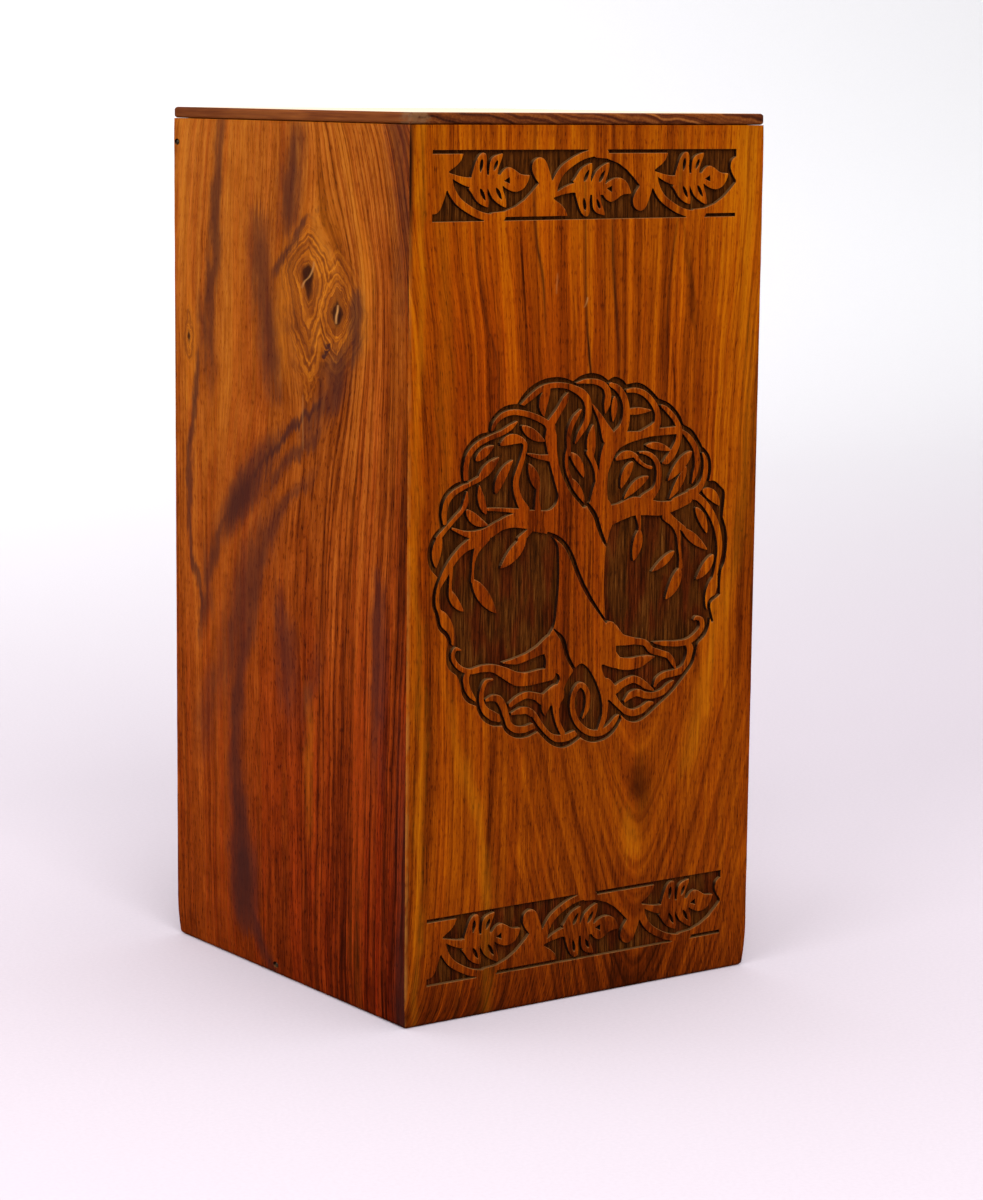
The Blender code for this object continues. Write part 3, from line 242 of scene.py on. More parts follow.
# Filled shape of the trunk and the root crown, as a smooth outline
TRUNK = (
    (-8.6, 20.4), (-9.6, 17.4), (-11.6, 15.7), (-14, 15.2), (-19, 13), (-19.2, 10.5), (-15, 9.3),
    (-11.5, 8.3), (-9, 5.4), (-8.4, 0.5), (-8.4, -6), (-9, -12), (-9.8, -17.4), (-11.6, -20.2),
    (-13.4, -24), (-12.6, -27.5), (-12.6, -30.6), (-8.8, -31.4), (-7.6, -33), (-9, -35.4), (-10.6, -38),
    (-9.4, -41), (-7.7, -41.6), (-7, -38.4), (-5.4, -34.6), (-2.8, -31.2), (-0.2, -29.4), (2.6, -31.2),
    (5.2, -35), (7, -39), (7.8, -42), (9, -41.6), (11.4, -40.6), (12.6, -38.6), (9.8, -36.2),
    (7.8, -33), (7.2, -30.6), (9, -30.4), (12, -28.4), (12.2, -25), (11.4, -21.6), (9.6, -19.8),
    (8.5, -18), (7.8, -12), (7.6, -4), (8, 2), (9.2, 7.4), (10.6, 11), (9.8, 15.4), (8, 17.6),
    (5, 18.6), (2.8, 17.6), (0.7, 15.6), (-1.4, 15.8), (-4, 17.6), (-7, 19),
)
# Leaf-scroll band, one unit: the bands, then the leaf spray's lobes and the bud;
# the next unit is the same one pitch on and upside down
SCROLL_BANDS = (
    ((2.4, 2.4, 2.2, 2.1, 2, 2, 2.2), ((-47.6, 2.2), (-46.9, -0.6), (-44.6, -3.9), (-41, -6.3),
     (-37.4, -7.9), (-33.6, -8.7), (-29.6, -8.6))),
    ((0.9, 1.9, 2.6, 3.6, 3.6, 2.6), ((-47.4, 3), (-43.6, 1.6), (-40.4, 0.9), (-36.4, 1), (-31.6, 1.2),
     (-28.5, 1.4))),
)
SCROLL_FILLS = (
    ((-39.9, 1.2), (-39.1, 5.2), (-37.9, 7.7), (-36.6, 8.8), (-35.4, 8.6), (-35, 7.2), (-35.1, 5),
     (-35.2, 1.2)),
    ((-34, 1.2), (-34, 5.2), (-33.5, 7), (-32.3, 8), (-30.9, 8.4), (-29.7, 8.6), (-29.8, 7.6),
     (-30.4, 6.2), (-31.2, 4.2), (-31.6, 1.2)),
    ((-31.2, 1.4), (-29.8, 3.6), (-28.5, 4.6), (-27.2, 4.9), (-25.5, 4.2), (-23.9, 3.2), (-22.4, 2.8),
     (-20.6, 2.7), (-20.6, 2), (-21.4, 0.3), (-22.6, -1), (-24.3, -1.7), (-26, -1.7), (-27.6, -1.2),
     (-28.9, -0.5), (-30.2, 0.4)),
    ((-40.6, -0.5), (-39.9, -2), (-38.5, -3.9), (-36.8, -5.1), (-34.6, -5.9), (-34.3, -5.2),
     (-34.3, -3.9), (-34.7, -2.2), (-35.2, 0.6)),
    ((-34.6, 0.4), (-33.4, -2.8), (-32.2, -4.1), (-30.5, -5.2), (-28.5, -6), (-28.3, -4.8),
     (-28.7, -3.1), (-29.3, -1.7), (-30.2, 0.2)),
    ((-17.4, 0.6), (-18.7, 2.2), (-19.6, 4.2), (-19.3, 6.2), (-18, 7.3), (-16.5, 7.5), (-15, 6.5),
     (-13.9, 4.2), (-13, 1.8), (-12.6, -1), (-15, -3)),
)
SCROLL_GUSSET = (
    (-36, -9.7), (-33, -7.4), (-29, -7.1), (-25, -5.8), (-22, -4), (-19.5, -1.8), (-17.3, 0.4),
    (-15.2, 1.6), (-12.8, 1.4), (-11, -0.4), (-12.1, -3.9), (-9.6, -5.4), (-8.1, -6.8), (-7.3, -8.6),
    (-31, -8.6), (-31, -9.7),
)
SCROLL_SLITS = (
    (1.2, ((-36.5, 7.2), (-37.1, 3.6))), (1.1, ((-31.3, 6.8), (-32.6, 4))),
    (1.2, ((-37.1, -0.8), (-35.3, -4.1))), (1.2, ((-31.8, -0.6), (-29.8, -3.9))),
)
SCROLL_PIT = ((-29.1, 1.2), (-27.2, 2.3), (-27.1, 0.4))
BAND_X, BAND_Y = (-52.9, 53.2), 9.65
SCROLL_PITCH = 35.4


class Drawing:
    """A shape drawn with bands, leaves and filled outlines, kept as the signed
    distance to its edge on a regular grid, negative inside. Millimetres."""

    def __init__(self, low: Point, high: Point, step: float) -> None:
        """Lays out an empty grid.

        Args:
            low: The lower left corner.
            high: The upper right corner.
            step: The distance between grid points.
        """
        self.xs = np.arange(low[0], high[0] + step / 2, step)
        self.ys = np.arange(low[1], high[1] + step / 2, step)
        self.away = np.full((len(self.ys), len(self.xs)), FAR)

    def patch(
        self, low: np.ndarray, high: np.ndarray, pad: float = 1.5
    ) -> tuple[tuple[slice, slice], np.ndarray, np.ndarray]:
        """Finds the part of the grid round a stroke.

        Args:
            low: The stroke's lower left corner.
            high: The stroke's upper right corner.
            pad: How far round the stroke the grid is kept up.

        Returns:
            The slices of the grid, and the x and y of its points there.
        """
        i0, i1 = np.searchsorted(self.xs, [low[0] - pad, high[0] + pad])
        j0, j1 = np.searchsorted(self.ys, [low[1] - pad, high[1] + pad])
        x, y = np.meshgrid(self.xs[i0:i1], self.ys[j0:j1])
        return (slice(j0, j1), slice(i0, i1)), x, y

    def chain(self, centres: np.ndarray, radii: np.ndarray) -> None:
        """Draws a run of round-ended tapered segments.

        Args:
            centres: The points along the middle.
            radii: Half the width at each point.
        """
        for a, b, ra, rb in zip(centres[:-1], centres[1:], radii[:-1], radii[1:]):
            r = max(ra, rb)
            where, x, y = self.patch(np.minimum(a, b) - r, np.maximum(a, b) + r)
            if x.size:
                v = b - a
                t = np.clip(((x - a[0]) * v[0] + (y - a[1]) * v[1]) / max(v @ v, 1e-9), 0, 1)
                d = np.hypot(x - a[0] - t * v[0], y - a[1] - t * v[1]) - (ra + (rb - ra) * t)
                self.away[where] = np.minimum(self.away[where], d)

    def band(self, widths: Sequence[float], points: Points) -> None:
        """Draws a smooth limb or groove.

        Args:
            widths: The widths, spread evenly along it.
            points: The points that its middle passes.
        """
        c = smooth_line(points, 6)
        along = np.linspace(0, 1, len(c))
        self.chain(c, np.interp(along, np.linspace(0, 1, len(widths)), widths) / 2)

    def leaf(self, foot: Point, tip: Point, width: float, bow: float) -> None:
        """Draws a pointed leaf.

        Args:
            foot: Where it starts.
            tip: Where it ends.
            width: Its width at the widest.
            bow: How far its middle bends to the left of the way to the tip.
        """
        a, b = np.asarray(foot, float), np.asarray(tip, float)
        v = b - a
        side = np.array([-v[1], v[0]]) / np.hypot(*v)
        t = np.linspace(0, 1, 16)
        middle = a + v * t[:, None] + side * (bow * 4 * t * (1 - t))[:, None]
        self.chain(middle, np.maximum(width / 2 * np.sin(np.pi * t ** 0.85) ** 0.8, 0.02))

    def fill(self, points: Points, smooth: bool = True) -> None:
        """Fills a closed outline.

        Args:
            points: The outline's points.
            smooth: Whether a smooth line is passed through them first.
        """
        c = smooth_line(points, 4, closed=True) if smooth else np.asarray(points, float)
        where, x, y = self.patch(c.min(0), c.max(0))
        if not x.size:
            return
        near = np.full(x.shape, 1e9)
        inside = np.zeros(x.shape, bool)
        for a, b in zip(c, np.roll(c, -1, 0)):
            v = b - a
            rows = slice(*np.searchsorted(y[:, 0], [min(a[1], b[1]) - 2, max(a[1], b[1]) + 2]))
            xs, ys = x[rows], y[rows]
            t = np.clip(((xs - a[0]) * v[0] + (ys - a[1]) * v[1]) / max(v @ v, 1e-9), 0, 1)
            squared = (xs - a[0] - t * v[0]) ** 2 + (ys - a[1] - t * v[1]) ** 2
            near[rows] = np.minimum(near[rows], squared)
            if a[1] != b[1]:
                left = xs < (b[0] - a[0]) * (ys - a[1]) / (b[1] - a[1]) + a[0]
                inside[rows] ^= ((a[1] > ys) != (b[1] > ys)) & left
        near = np.minimum(np.sqrt(near), FAR)
        self.away[where] = np.minimum(self.away[where], np.where(inside, -near, near))

    def at(self, x: np.ndarray, y: np.ndarray) -> np.ndarray:
        """Reads the distance between grid points.

        Args:
            x: The places' x.
            y: The places' y.

        Returns:
            The signed distances, FAR off the grid.
        """
        step = self.xs[1] - self.xs[0]
        i = (np.asarray(x) - self.xs[0]) / step
        j = (np.asarray(y) - self.ys[0]) / step
        off = (i < 0) | (j < 0) | (i > len(self.xs) - 1.001) | (j > len(self.ys) - 1.001)
        i, j = np.where(off, 0, i), np.where(off, 0, j)
        i0, j0 = i.astype(int), j.astype(int)
        u, v = i - i0, j - j0
        g = self.away
        below = g[j0, i0] * (1 - u) + g[j0, i0 + 1] * u
        above = g[j0 + 1, i0] * (1 - u) + g[j0 + 1, i0 + 1] * u
        return np.where(off, FAR, below * (1 - v) + above * v)

    def outlines(self, level: float) -> list[np.ndarray]:
        """Follows the closed lines at one distance from the edge.

        Args:
            level: The signed distance.

        Returns:
            The closed lines' points.
        """
        d, xs, ys = self.away - level, self.xs, self.ys
        cut = d < 0
        mixed = cut[:-1, :-1].astype(int) + cut[:-1, 1:] + cut[1:, :-1] + cut[1:, 1:]
        follows: dict[tuple, tuple] = {}
        where: dict[tuple, Point] = {}

        def crossing(j: int, i: int, upright: bool) -> tuple:
            """Notes where the line crosses one side of a cell.

            Args:
                j: The row of the side's first end.
                i: The column of the side's first end.
                upright: Whether the side runs up, and not across.

            Returns:
                The side's name.
            """
            key = (j, i, upright)
            if key not in where:
                a, b = d[j, i], d[j + 1, i] if upright else d[j, i + 1]
                t = a / (a - b)
                if upright:
                    where[key] = (xs[i], ys[j] + (ys[j + 1] - ys[j]) * t)
                else:
                    where[key] = (xs[i] + (xs[i + 1] - xs[i]) * t, ys[j])
            return key

        for j, i in np.argwhere((mixed > 0) & (mixed < 4)).tolist():
            corners = (cut[j, i], cut[j, i + 1], cut[j + 1, i + 1], cut[j + 1, i])
            sides = ((j, i, False), (j, i + 1, True), (j + 1, i, False), (j, i, True))
            starts = [k for k in range(4) if corners[k] and not corners[(k + 1) % 4]]
            ends = [k for k in range(4) if corners[(k + 1) % 4] and not corners[k]]
            if len(starts) == 2:
                turn = 1 if d[j:j + 2, i:i + 2].mean() < 0 else -1
                pairs = [(s, (s + turn) % 4) for s in starts]
            else:
                pairs = [(starts[0], ends[0])]
            for s, e in pairs:
                follows[crossing(*sides[s])] = crossing(*sides[e])
        loops = []
        while follows:
            key = next(iter(follows))
            loop = []
            while key in follows:
                loop.append(where[key])
                key = follows.pop(key)
            loops.append(np.array(loop))
        return loops


def smooth_line(points: Points, steps: int, closed: bool = False) -> np.ndarray:
    """Passes a smooth line through a few points.

    Args:
        points: The points.
        steps: How many points are made for each span.
        closed: Whether the line comes back to its start.

    Returns:
        The line's points.
    """
    p = np.asarray(points, float)
    if closed:
        p = np.vstack([p[-1:], p, p[:2]])
    else:
        p = np.vstack([2 * p[:1] - p[1:2], p, 2 * p[-1:] - p[-2:-1]])
    t = np.linspace(0, 1, steps, endpoint=False)[:, None]
    out = []
    for a, b, c, d in zip(p[:-3], p[1:-2], p[2:-1], p[3:]):
        second, third = 2 * a - 5 * b + 4 * c - d, 3 * b - a - 3 * c + d
        out.append(0.5 * (2 * b + (c - a) * t + second * t ** 2 + third * t ** 3))
    if not closed:
        out.append(p[-2:-1])
    return np.vstack(out)


def thinned(loop: np.ndarray, tolerance: float, longest: float) -> np.ndarray:
    """Leaves out a closed line's points that its shape doesn't need.

    Args:
        loop: The line's points.
        tolerance: How far the line may move.
        longest: The longest span that is kept whole.

    Returns:
        The points that stay.
    """
    far = int(np.argmax(np.hypot(*(loop - loop[0]).T)))
    keep = {0, far}
    ring = np.vstack([loop, loop[:1]])
    spans = [(0, far), (far, len(loop))]
    while spans:
        a, b = spans.pop()
        if b - a < 2:
            continue
        v = ring[b] - ring[a]
        w = ring[a + 1:b] - ring[a]
        size = np.hypot(*v)
        away = np.abs(v[0] * w[:, 1] - v[1] * w[:, 0]) / max(size, 1e-9)
        k = int(np.argmax(away)) + a + 1
        if away[k - a - 1] > tolerance or size > longest:
            k = k if away[k - a - 1] > tolerance else (a + b) // 2
            keep.add(k)
            spans += [(a, k), (k, b)]
    return loop[sorted(keep)]


def roundel_ground(step: float) -> Drawing:
    """Draws where the roundel's ground is cut away.

    Args:
        step: The grid's step.

    Returns:
        The drawing, negative where it is cut, from the roundel's centre.
    """
    box = ((-55, -55), (55, 55), step)
    motif, ground, grooves = Drawing(*box), Drawing(*box), Drawing(*box)
    for widths, points in BANDS:
        motif.band(widths, points)
    for leaf in LEAVES:
        motif.leaf(*leaf)
    motif.fill(TRUNK)
    ground.fill(np.vstack([smooth_line(points[:used], 5) for used, points in RIM]), smooth=False)
    for _, points in RIM:
        grooves.band(RIM_WIDTHS, points)
    for widths, points in GROOVES:
        grooves.band(widths, points)
    motif.away = np.minimum(np.maximum(ground.away, -motif.away), grooves.away)
    return motif


def scroll_ground(step: float) -> Drawing:
    """Draws where the ground of a leaf-scroll band is cut away.

    Args:
        step: The grid's step.

    Returns:
        The drawing, negative where it is cut, from the band's centre.
    """
    box = ((BAND_X[0] - 2, -BAND_Y - 2), (BAND_X[1] + 2, BAND_Y + 2), step)
    motif, slits = Drawing(*box), Drawing(*box)
    for unit in range(-1, 4):
        flip = -1 if unit % 2 else 1

        def place(points: Points) -> Points:
            """Moves one unit's points to where this unit lies."""
            return [(x + unit * SCROLL_PITCH, y * flip) for x, y in points]

        for widths, points in SCROLL_BANDS:
            motif.band(widths, place(points))
        for points in SCROLL_FILLS:
            motif.fill(place(points))
        motif.fill(place(SCROLL_GUSSET), smooth=False)
        if unit in (0, 1, 2):
            for width, points in SCROLL_SLITS:
                slits.leaf(*place(points), width, 0)
            slits.fill(place(SCROLL_PIT), smooth=False)
    x, y = np.meshgrid(motif.xs, motif.ys)
    middle, half = sum(BAND_X) / 2, (BAND_X[1] - BAND_X[0]) / 2
    edge = np.maximum(np.abs(x - middle) - half, np.abs(y) - BAND_Y)
    motif.away = np.minimum(np.maximum(edge, -motif.away), np.maximum(slits.away, edge))
    return motif


class Signal:
    """A number on its way through a material's nodes; arithmetic on it adds Math nodes."""

    def __init__(self, tree: bpy.types.NodeTree, socket: bpy.types.NodeSocket) -> None:
        """Holds one output socket of the tree."""
        self.tree, self.socket = tree, socket

    def into(self, slot: bpy.types.NodeSocket) -> None:
        """Links the socket to an input."""
        self.tree.links.new(self.socket, slot)

    def worked(self, operation: str, *others: "Number") -> "Signal":
        """Adds a Math node.

        Args:
            operation: The node's operation.
            others: Its second and third values.

        Returns:
            The node's output.
        """
        node = self.tree.nodes.new("ShaderNodeMath")
        node.operation = operation
        for slot, value in zip(node.inputs, (self, *others)):
            plug(value, slot)
        return Signal(self.tree, node.outputs[0])

    def __add__(self, other: "Number") -> "Signal":
        """Adds."""
        return self.worked("ADD", other)

    def __sub__(self, other: "Number") -> "Signal":
        """Subtracts."""
        return self.worked("SUBTRACT", other)

    def __mul__(self, other: "Number") -> "Signal":
        """Multiplies."""
        return self.worked("MULTIPLY", other)

    def __truediv__(self, other: "Number") -> "Signal":
        """Divides."""
        return self.worked("DIVIDE", other)

    def __neg__(self) -> "Signal":
        """Turns the sign."""
        return self.worked("MULTIPLY", -1.0)

    def root(self) -> "Signal":
        """Takes the square root."""
        return self.worked("SQRT")

    def size(self) -> "Signal":
        """Takes the value without its sign."""
        return self.worked("ABSOLUTE")

    def most(self, other: "Number") -> "Signal":
        """Takes the larger of two."""
        return self.worked("MAXIMUM", other)

    def least(self, other: "Number") -> "Signal":
        """Takes the smaller of two."""
        return self.worked("MINIMUM", other)

    def hill(self, width: "Number") -> "Signal":
        """A smooth hill round zero, as wide as given on each side."""
        scaled = self / width
        return (-(scaled * scaled)).worked("EXPONENT")


Number = Union[Signal, float]


def plug(value: Number, slot: bpy.types.NodeSocket) -> None:
    """Gives an input its value.

    Args:
        value: A signal or a plain number.
        slot: The input.
    """
    if isinstance(value, Signal):
        value.into(slot)
    else:
        slot.default_value = value


def paint(colour: Paint) -> tuple[float, float, float, float]:
    """Turns a colour as seen, 0 to 255, into the renderer's, with an alpha of 1."""
    parts = [c / 255 for c in colour]
    return (*(c / 12.92 if c <= 0.04045 else ((c + 0.055) / 1.055) ** 2.4 for c in parts), 1.0)


class Nodes:
    """Puts one material's nodes together."""

    def __init__(self, name: str) -> None:
        """Makes an empty material.

        Args:
            name: The material's name.
        """
        self.material = bpy.data.materials.new(name)
        self.material.use_nodes = True
        self.tree = self.material.node_tree
        self.shader = self.tree.nodes["Principled BSDF"]

    def node(self, kind: str, **settings: object) -> bpy.types.Node:
        """Adds a node.

        Args:
            kind: Its type without the prefix.
            settings: Its properties.

        Returns:
            The node.
        """
        made = self.tree.nodes.new("ShaderNode" + kind)
        for key, value in settings.items():
            setattr(made, key, value)
        return made

    def place(self) -> tuple[Signal, Signal, Signal]:
        """Reads the place on the object.

        Returns:
            Its x, y and z in millimetres.
        """
        split = self.node("SeparateXYZ")
        self.tree.links.new(self.node("TexCoord").outputs["Object"], split.inputs[0])
        return tuple(Signal(self.tree, out) * 1000.0 for out in split.outputs)

    def upward(self) -> Signal:
        """Reads how far the surface faces up.

        Returns:
            1 where it faces up, 0 where it is upright.
        """
        split = self.node("SeparateXYZ")
        self.tree.links.new(self.node("NewGeometry").outputs["Normal"], split.inputs[0])
        return Signal(self.tree, split.outputs[2])

    def cloud(
        self, x: Number, y: Number, z: Number = 0.0, detail: float = 2.0, rough: float = 0.5
    ) -> Signal:
        """Makes a smooth random value, about one cell to each unit.

        Args:
            x: The place's x.
            y: The place's y.
            z: The place's z.
            detail: How many finer layers there are.
            rough: How strong those are.

        Returns:
            The value, mostly 0.3 to 0.7.
        """
        spot = self.node("CombineXYZ")
        for slot, value in zip(spot.inputs, (x, y, z)):
            plug(value, slot)
        made = self.node("TexNoise")
        made.inputs["Scale"].default_value = 1.0
        made.inputs["Detail"].default_value = detail
        made.inputs["Roughness"].default_value = rough
        self.tree.links.new(spot.outputs[0], made.inputs["Vector"])
        return Signal(self.tree, made.outputs[0])

    def profile(self, value: Signal, points: Points) -> Signal:
        """Reads a smooth curve through a few points.

        Args:
            value: Where the curve is read.
            points: The curve's points, from low to high.

        Returns:
            The curve's value there.
        """
        xs, ys = [p[0] for p in points], [p[1] for p in points]
        if min(ys) == max(ys):
            return value * 0.0 + ys[0]
        span, low = xs[-1] - xs[0], min(ys)
        rise = max(max(ys) - low, 1e-6)
        made = self.node("FloatCurve")
        line = made.mapping.curves[0]
        for k, (x, y) in enumerate(points):
            spot = ((x - xs[0]) / span, (y - low) / rise)
            if k in (0, len(points) - 1):
                line.points[0 if k == 0 else -1].location = spot
            else:
                line.points.new(*spot)
        made.mapping.extend = "HORIZONTAL"
        made.mapping.update()
        plug((value - xs[0]) / span, made.inputs["Value"])
        return Signal(self.tree, made.outputs[0]) * rise + low

    def step(self, value: Signal, low: float, high: float) -> Signal:
        """Rises smoothly from 0 to 1.

        Args:
            value: The value.
            low: Where it starts to rise.
            high: Where it has risen.

        Returns:
            0 to 1.
        """
        made = self.node("MapRange", interpolation_type="SMOOTHSTEP")
        turn = low > high
        limits = (min(low, high), max(low, high), float(turn), float(not turn))
        for slot, given in zip(made.inputs, (value, *limits)):
            plug(given, slot)
        return Signal(self.tree, made.outputs[0])

    def ramp(self, value: Signal, stops: Stops) -> Signal:
        """Colours a value.

        Args:
            value: The value, 0 to 1.
            stops: Places on the scale, each with its colour.

        Returns:
            The colour.
        """
        made = self.node("ValToRGB")
        scale = made.color_ramp
        for k, (spot, colour) in enumerate(stops):
            stop = scale.elements[k] if k < 2 else scale.elements.new(spot)
            stop.position, stop.color = spot, paint(colour)
        plug(value, made.inputs[0])
        return Signal(self.tree, made.outputs[0])

    def mixed(
        self, amount: Number, under: Signal, over: Union[Signal, Paint], mode: str = "MIX"
    ) -> Signal:
        """Lays one colour over another.

        Args:
            amount: How much of the upper one shows.
            under: The lower colour.
            over: The upper colour.
            mode: How they are put together.

        Returns:
            The colour.
        """
        made = self.node("Mix", data_type="RGBA", blend_type=mode, clamp_factor=True)
        plug(amount, made.inputs["Factor"])
        under.into(made.inputs[6])
        if isinstance(over, Signal):
            over.into(made.inputs[7])
        else:
            made.inputs[7].default_value = paint(over)
        return Signal(self.tree, made.outputs[2])

    def tinted(self, amount: Number, under: Signal, hue: Paint) -> Signal:
        """Turns a colour's hue towards another's, and keeps its lightness."""
        return self.mixed(amount, under, self.mixed(1.0, under, hue, "COLOR"))

    def finish(
        self, colour: Signal, rough: Number, relief: Signal, height: float, **fixed: float
    ) -> bpy.types.Material:
        """Wires up the shader.

        Args:
            colour: The colour.
            rough: The roughness.
            relief: The fine relief, 0 to 1.
            height: The relief's height in millimetres.
            fixed: Plain values for the shader's own inputs, with _ for a space.

        Returns:
            The material.
        """
        colour.into(self.shader.inputs["Base Color"])
        plug(rough, self.shader.inputs["Roughness"])
        bump = self.node("Bump")
        bump.inputs["Distance"].default_value = height * MM
        relief.into(bump.inputs["Height"])
        self.tree.links.new(bump.outputs[0], self.shader.inputs["Normal"])
        for key, value in fixed.items():
            self.shader.inputs[key.replace("_", " ")].default_value = value
        return self.material


class Facing(Enum):
    """Which way a board's outer face looks: its quarter turns from the front. On the
    face, across is to the right as one looks at it, height is from the ground, and
    inward is from the outer face."""

    FRONT = 0
    RIGHT = 1
    BACK = 2
    LEFT = 3

    @property
    def half(self) -> float:
        """How far the outer face is from the middle."""
        return (WIDTH if self in (Facing.LEFT, Facing.RIGHT) else DEPTH) / 2

    @property
    def half_width(self) -> float:
        """Half the outer face's width."""
        return (DEPTH if self in (Facing.LEFT, Facing.RIGHT) else WIDTH) / 2

    def world(self, across: float, height: float, inward: float) -> Vector:
        """Places a point of the board, given in millimetres on and in from its face."""
        turn = Matrix.Rotation(self.value * math.pi / 2, 3, "Z")
        return turn @ Vector((across, inward - self.half, height)) * MM

    def read(self, place: tuple[Signal, Signal, Signal]) -> tuple[Signal, Signal, Signal]:
        """Turns x, y and z into across, height and inward.

        Args:
            place: The place in millimetres.

        Returns:
            Across, height and inward.
        """
        x, y, z = place
        across = {Facing.FRONT: x, Facing.RIGHT: y, Facing.BACK: -x, Facing.LEFT: -y}[self]
        out = {Facing.FRONT: -y, Facing.RIGHT: x, Facing.BACK: y, Facing.LEFT: -x}[self]
        return across, z, -out + self.half


@dataclass(frozen=True)
class Streak:
    """A streak up a board: half its width, and its height, place across and strength
    from low to high."""

    width: float
    points: tuple[tuple[float, float, float], ...]

    def shade(self, n: Nodes, across: Signal, height: Signal, ragged: Signal) -> Signal:
        """How strongly the streak shows at a place.

        Args:
            n: The material's nodes.
            across: The place across the board.
            height: The height, for the streak's path.
            ragged: The height with uneven ends, for its strength.

        Returns:
            0 to 1.
        """
        middle = n.profile(height, [(h, a) for h, a, _ in self.points])
        strength = n.profile(ragged, [(h, s) for h, _, s in self.points])
        return (across - middle).hill(self.width) * strength


def strongest(signals: Sequence[Signal]) -> Signal:
    """Takes the largest of several values.

    Args:
        signals: The values, one or more.

    Returns:
        The largest.
    """
    top = signals[0]
    for other in signals[1:]:
        top = top.most(other)
    return top


@dataclass(frozen=True)
class Eddy:
    """A place that the grain parts round: its middle, and its size across and up."""

    across: float
    height: float
    wide: float
    tall: float
    soft: float = 0.8

    def parted(self, across: Signal, height: Signal) -> Signal:
        """How far the grain is pushed aside at a place."""
        dx, dz = (across - self.across) / self.wide, (height - self.height) / self.tall
        return dx * self.wide / (dx * dx + dz * dz + self.soft)


@dataclass(frozen=True)
class Knot:
    """A knot's rings: its heart, how tall they are above and below it for their
    width, how far they reach, and how wide the dark heart is."""

    across: float
    height: float
    above: float
    below: float
    reach: float
    heart: float

    def rings(self, across: Signal, height: Signal) -> Signal:
        """How far a place is from the heart, along pointed rings.

        Args:
            across: The place across the board.
            height: The height.

        Returns:
            Millimetres of rings.
        """
        dx, dz = across - self.across, height - self.height
        rise = dz.most(0.0) / self.above + (-dz).most(0.0) / self.below
        return ((dx * dx + rise * rise).root() + dx.size() + rise) * 0.55


@dataclass(frozen=True)
class Arches:
    """Nested arches where the saw ran along the growth rings: the middle's place
    across, its roundness, the arches' lean, where they fade out above, and how far
    to the sides."""

    across: float
    round: float
    lean: float
    fade: Point
    half: float = 56.0

    def grain(self, across: Signal, height: Signal) -> Signal:
        """The place among the rings, in millimetres."""
        dx = across - self.across
        return (dx * dx + self.round ** 2).root() - height * self.lean

    def strength(self, n: Nodes, across: Signal, height: Signal, wander: Signal) -> Signal:
        """How far the arches show at a place.

        Args:
            n: The material's nodes.
            across: The place across the board.
            height: The height.
            wander: A slow random value, for an uneven end at the sides.

        Returns:
            0 to 1.
        """
        low = n.step(height, self.fade[1], self.fade[0])
        away = (across - self.across).size() + wander * 20.0
        return low * n.step(away, self.half, self.half * 0.55)


class Layer(Enum):
    """One layer of the wood's figure: its place in the random cloud, how wide and tall
    its cells are in millimetres, how many finer layers it has, and how strong those are."""

    BROAD = (0, 6, 260, 1, 0.5)
    STRIPE = (7, 1.6, 150, 2, 0.6)
    VEIN = (21, 3.6, 120, 1, 0.5)
    VEIN_BREAKS = (4, 9, 50, 1, 0.5)
    FINE_VEIN = (33, 2.1, 200, 1, 0.5)
    FIBRE = (12, 0.42, 13, 2, 0.6)
    PORES = (14, 0.36, 2.4, 1, 0.5)
    STRAND = (80, 1.1, 70, 2, 0.6)
    WANDER = (50, 16, 45, 2, 0.5)
    SWELL = (70, 10, 24, 3, 0.6)
    CHURN = (75, 3.2, 9, 3, 0.65)
    MOTTLE = (95, 5, 10, 4, 0.62)
    BLUSH = (17, 4, 120, 2, 0.5)
    RIPPLE = (60, 7, 9, 3, 0.6)
    BROKEN = (61, 1.6, 3.2, 3, 0.65)
    KNOT_RING = (31, 1.7, 60, 3, 0.7)
    PLANING = (3, 9, 14, 1, 0.5)

    def cut(self, n: Nodes, across: Signal, along: Signal, seed: float) -> Signal:
        """Cuts the layer from the random cloud at the board's own seed."""
        offset, wide, tall, detail, rough = self.value
        return n.cloud(across / wide, along / tall, seed + offset, detail, rough)


@dataclass(frozen=True)
class Lie:
    """How the wood lies at a place: the place on the board in millimetres, the place
    across the grain, the fine grain there, the place and height by which ragged streaks
    are drawn, and how strongly a streak shows on each fibre."""

    across: Signal
    height: Signal
    inward: Signal
    wander: Signal
    wavy: Signal
    over_grain: Signal
    fibre: Signal
    pores: Signal
    strand: Signal
    churn: Signal
    jitter: Signal
    path: Signal
    ragged: Signal
    feather: Signal


# The arches' stripes are cut this much further on in the cloud than the straight ones
ARCH_SEED = 90

# Colours that all the boards share
TONE_PLACES = (0.0, 0.27, 0.5, 0.73, 1.0)
DARK_LINE, PALE_LINE = (30, 11, 4), (172, 118, 62)
# The first colour on the next line is the pale of a worn arris; the second is a painted highlight for
# arrises that face up.
WORN_ARRIS, ARRIS_HIGHLIGHT = (150, 96, 38), (164, 108, 56)
KNOT_HEART = (34, 14, 10)
KNOT_RINGS = (
    (0.3, (58, 24, 12)), (0.44, (98, 44, 10)), (0.56, (146, 76, 10)), (0.68, (192, 114, 18))
)


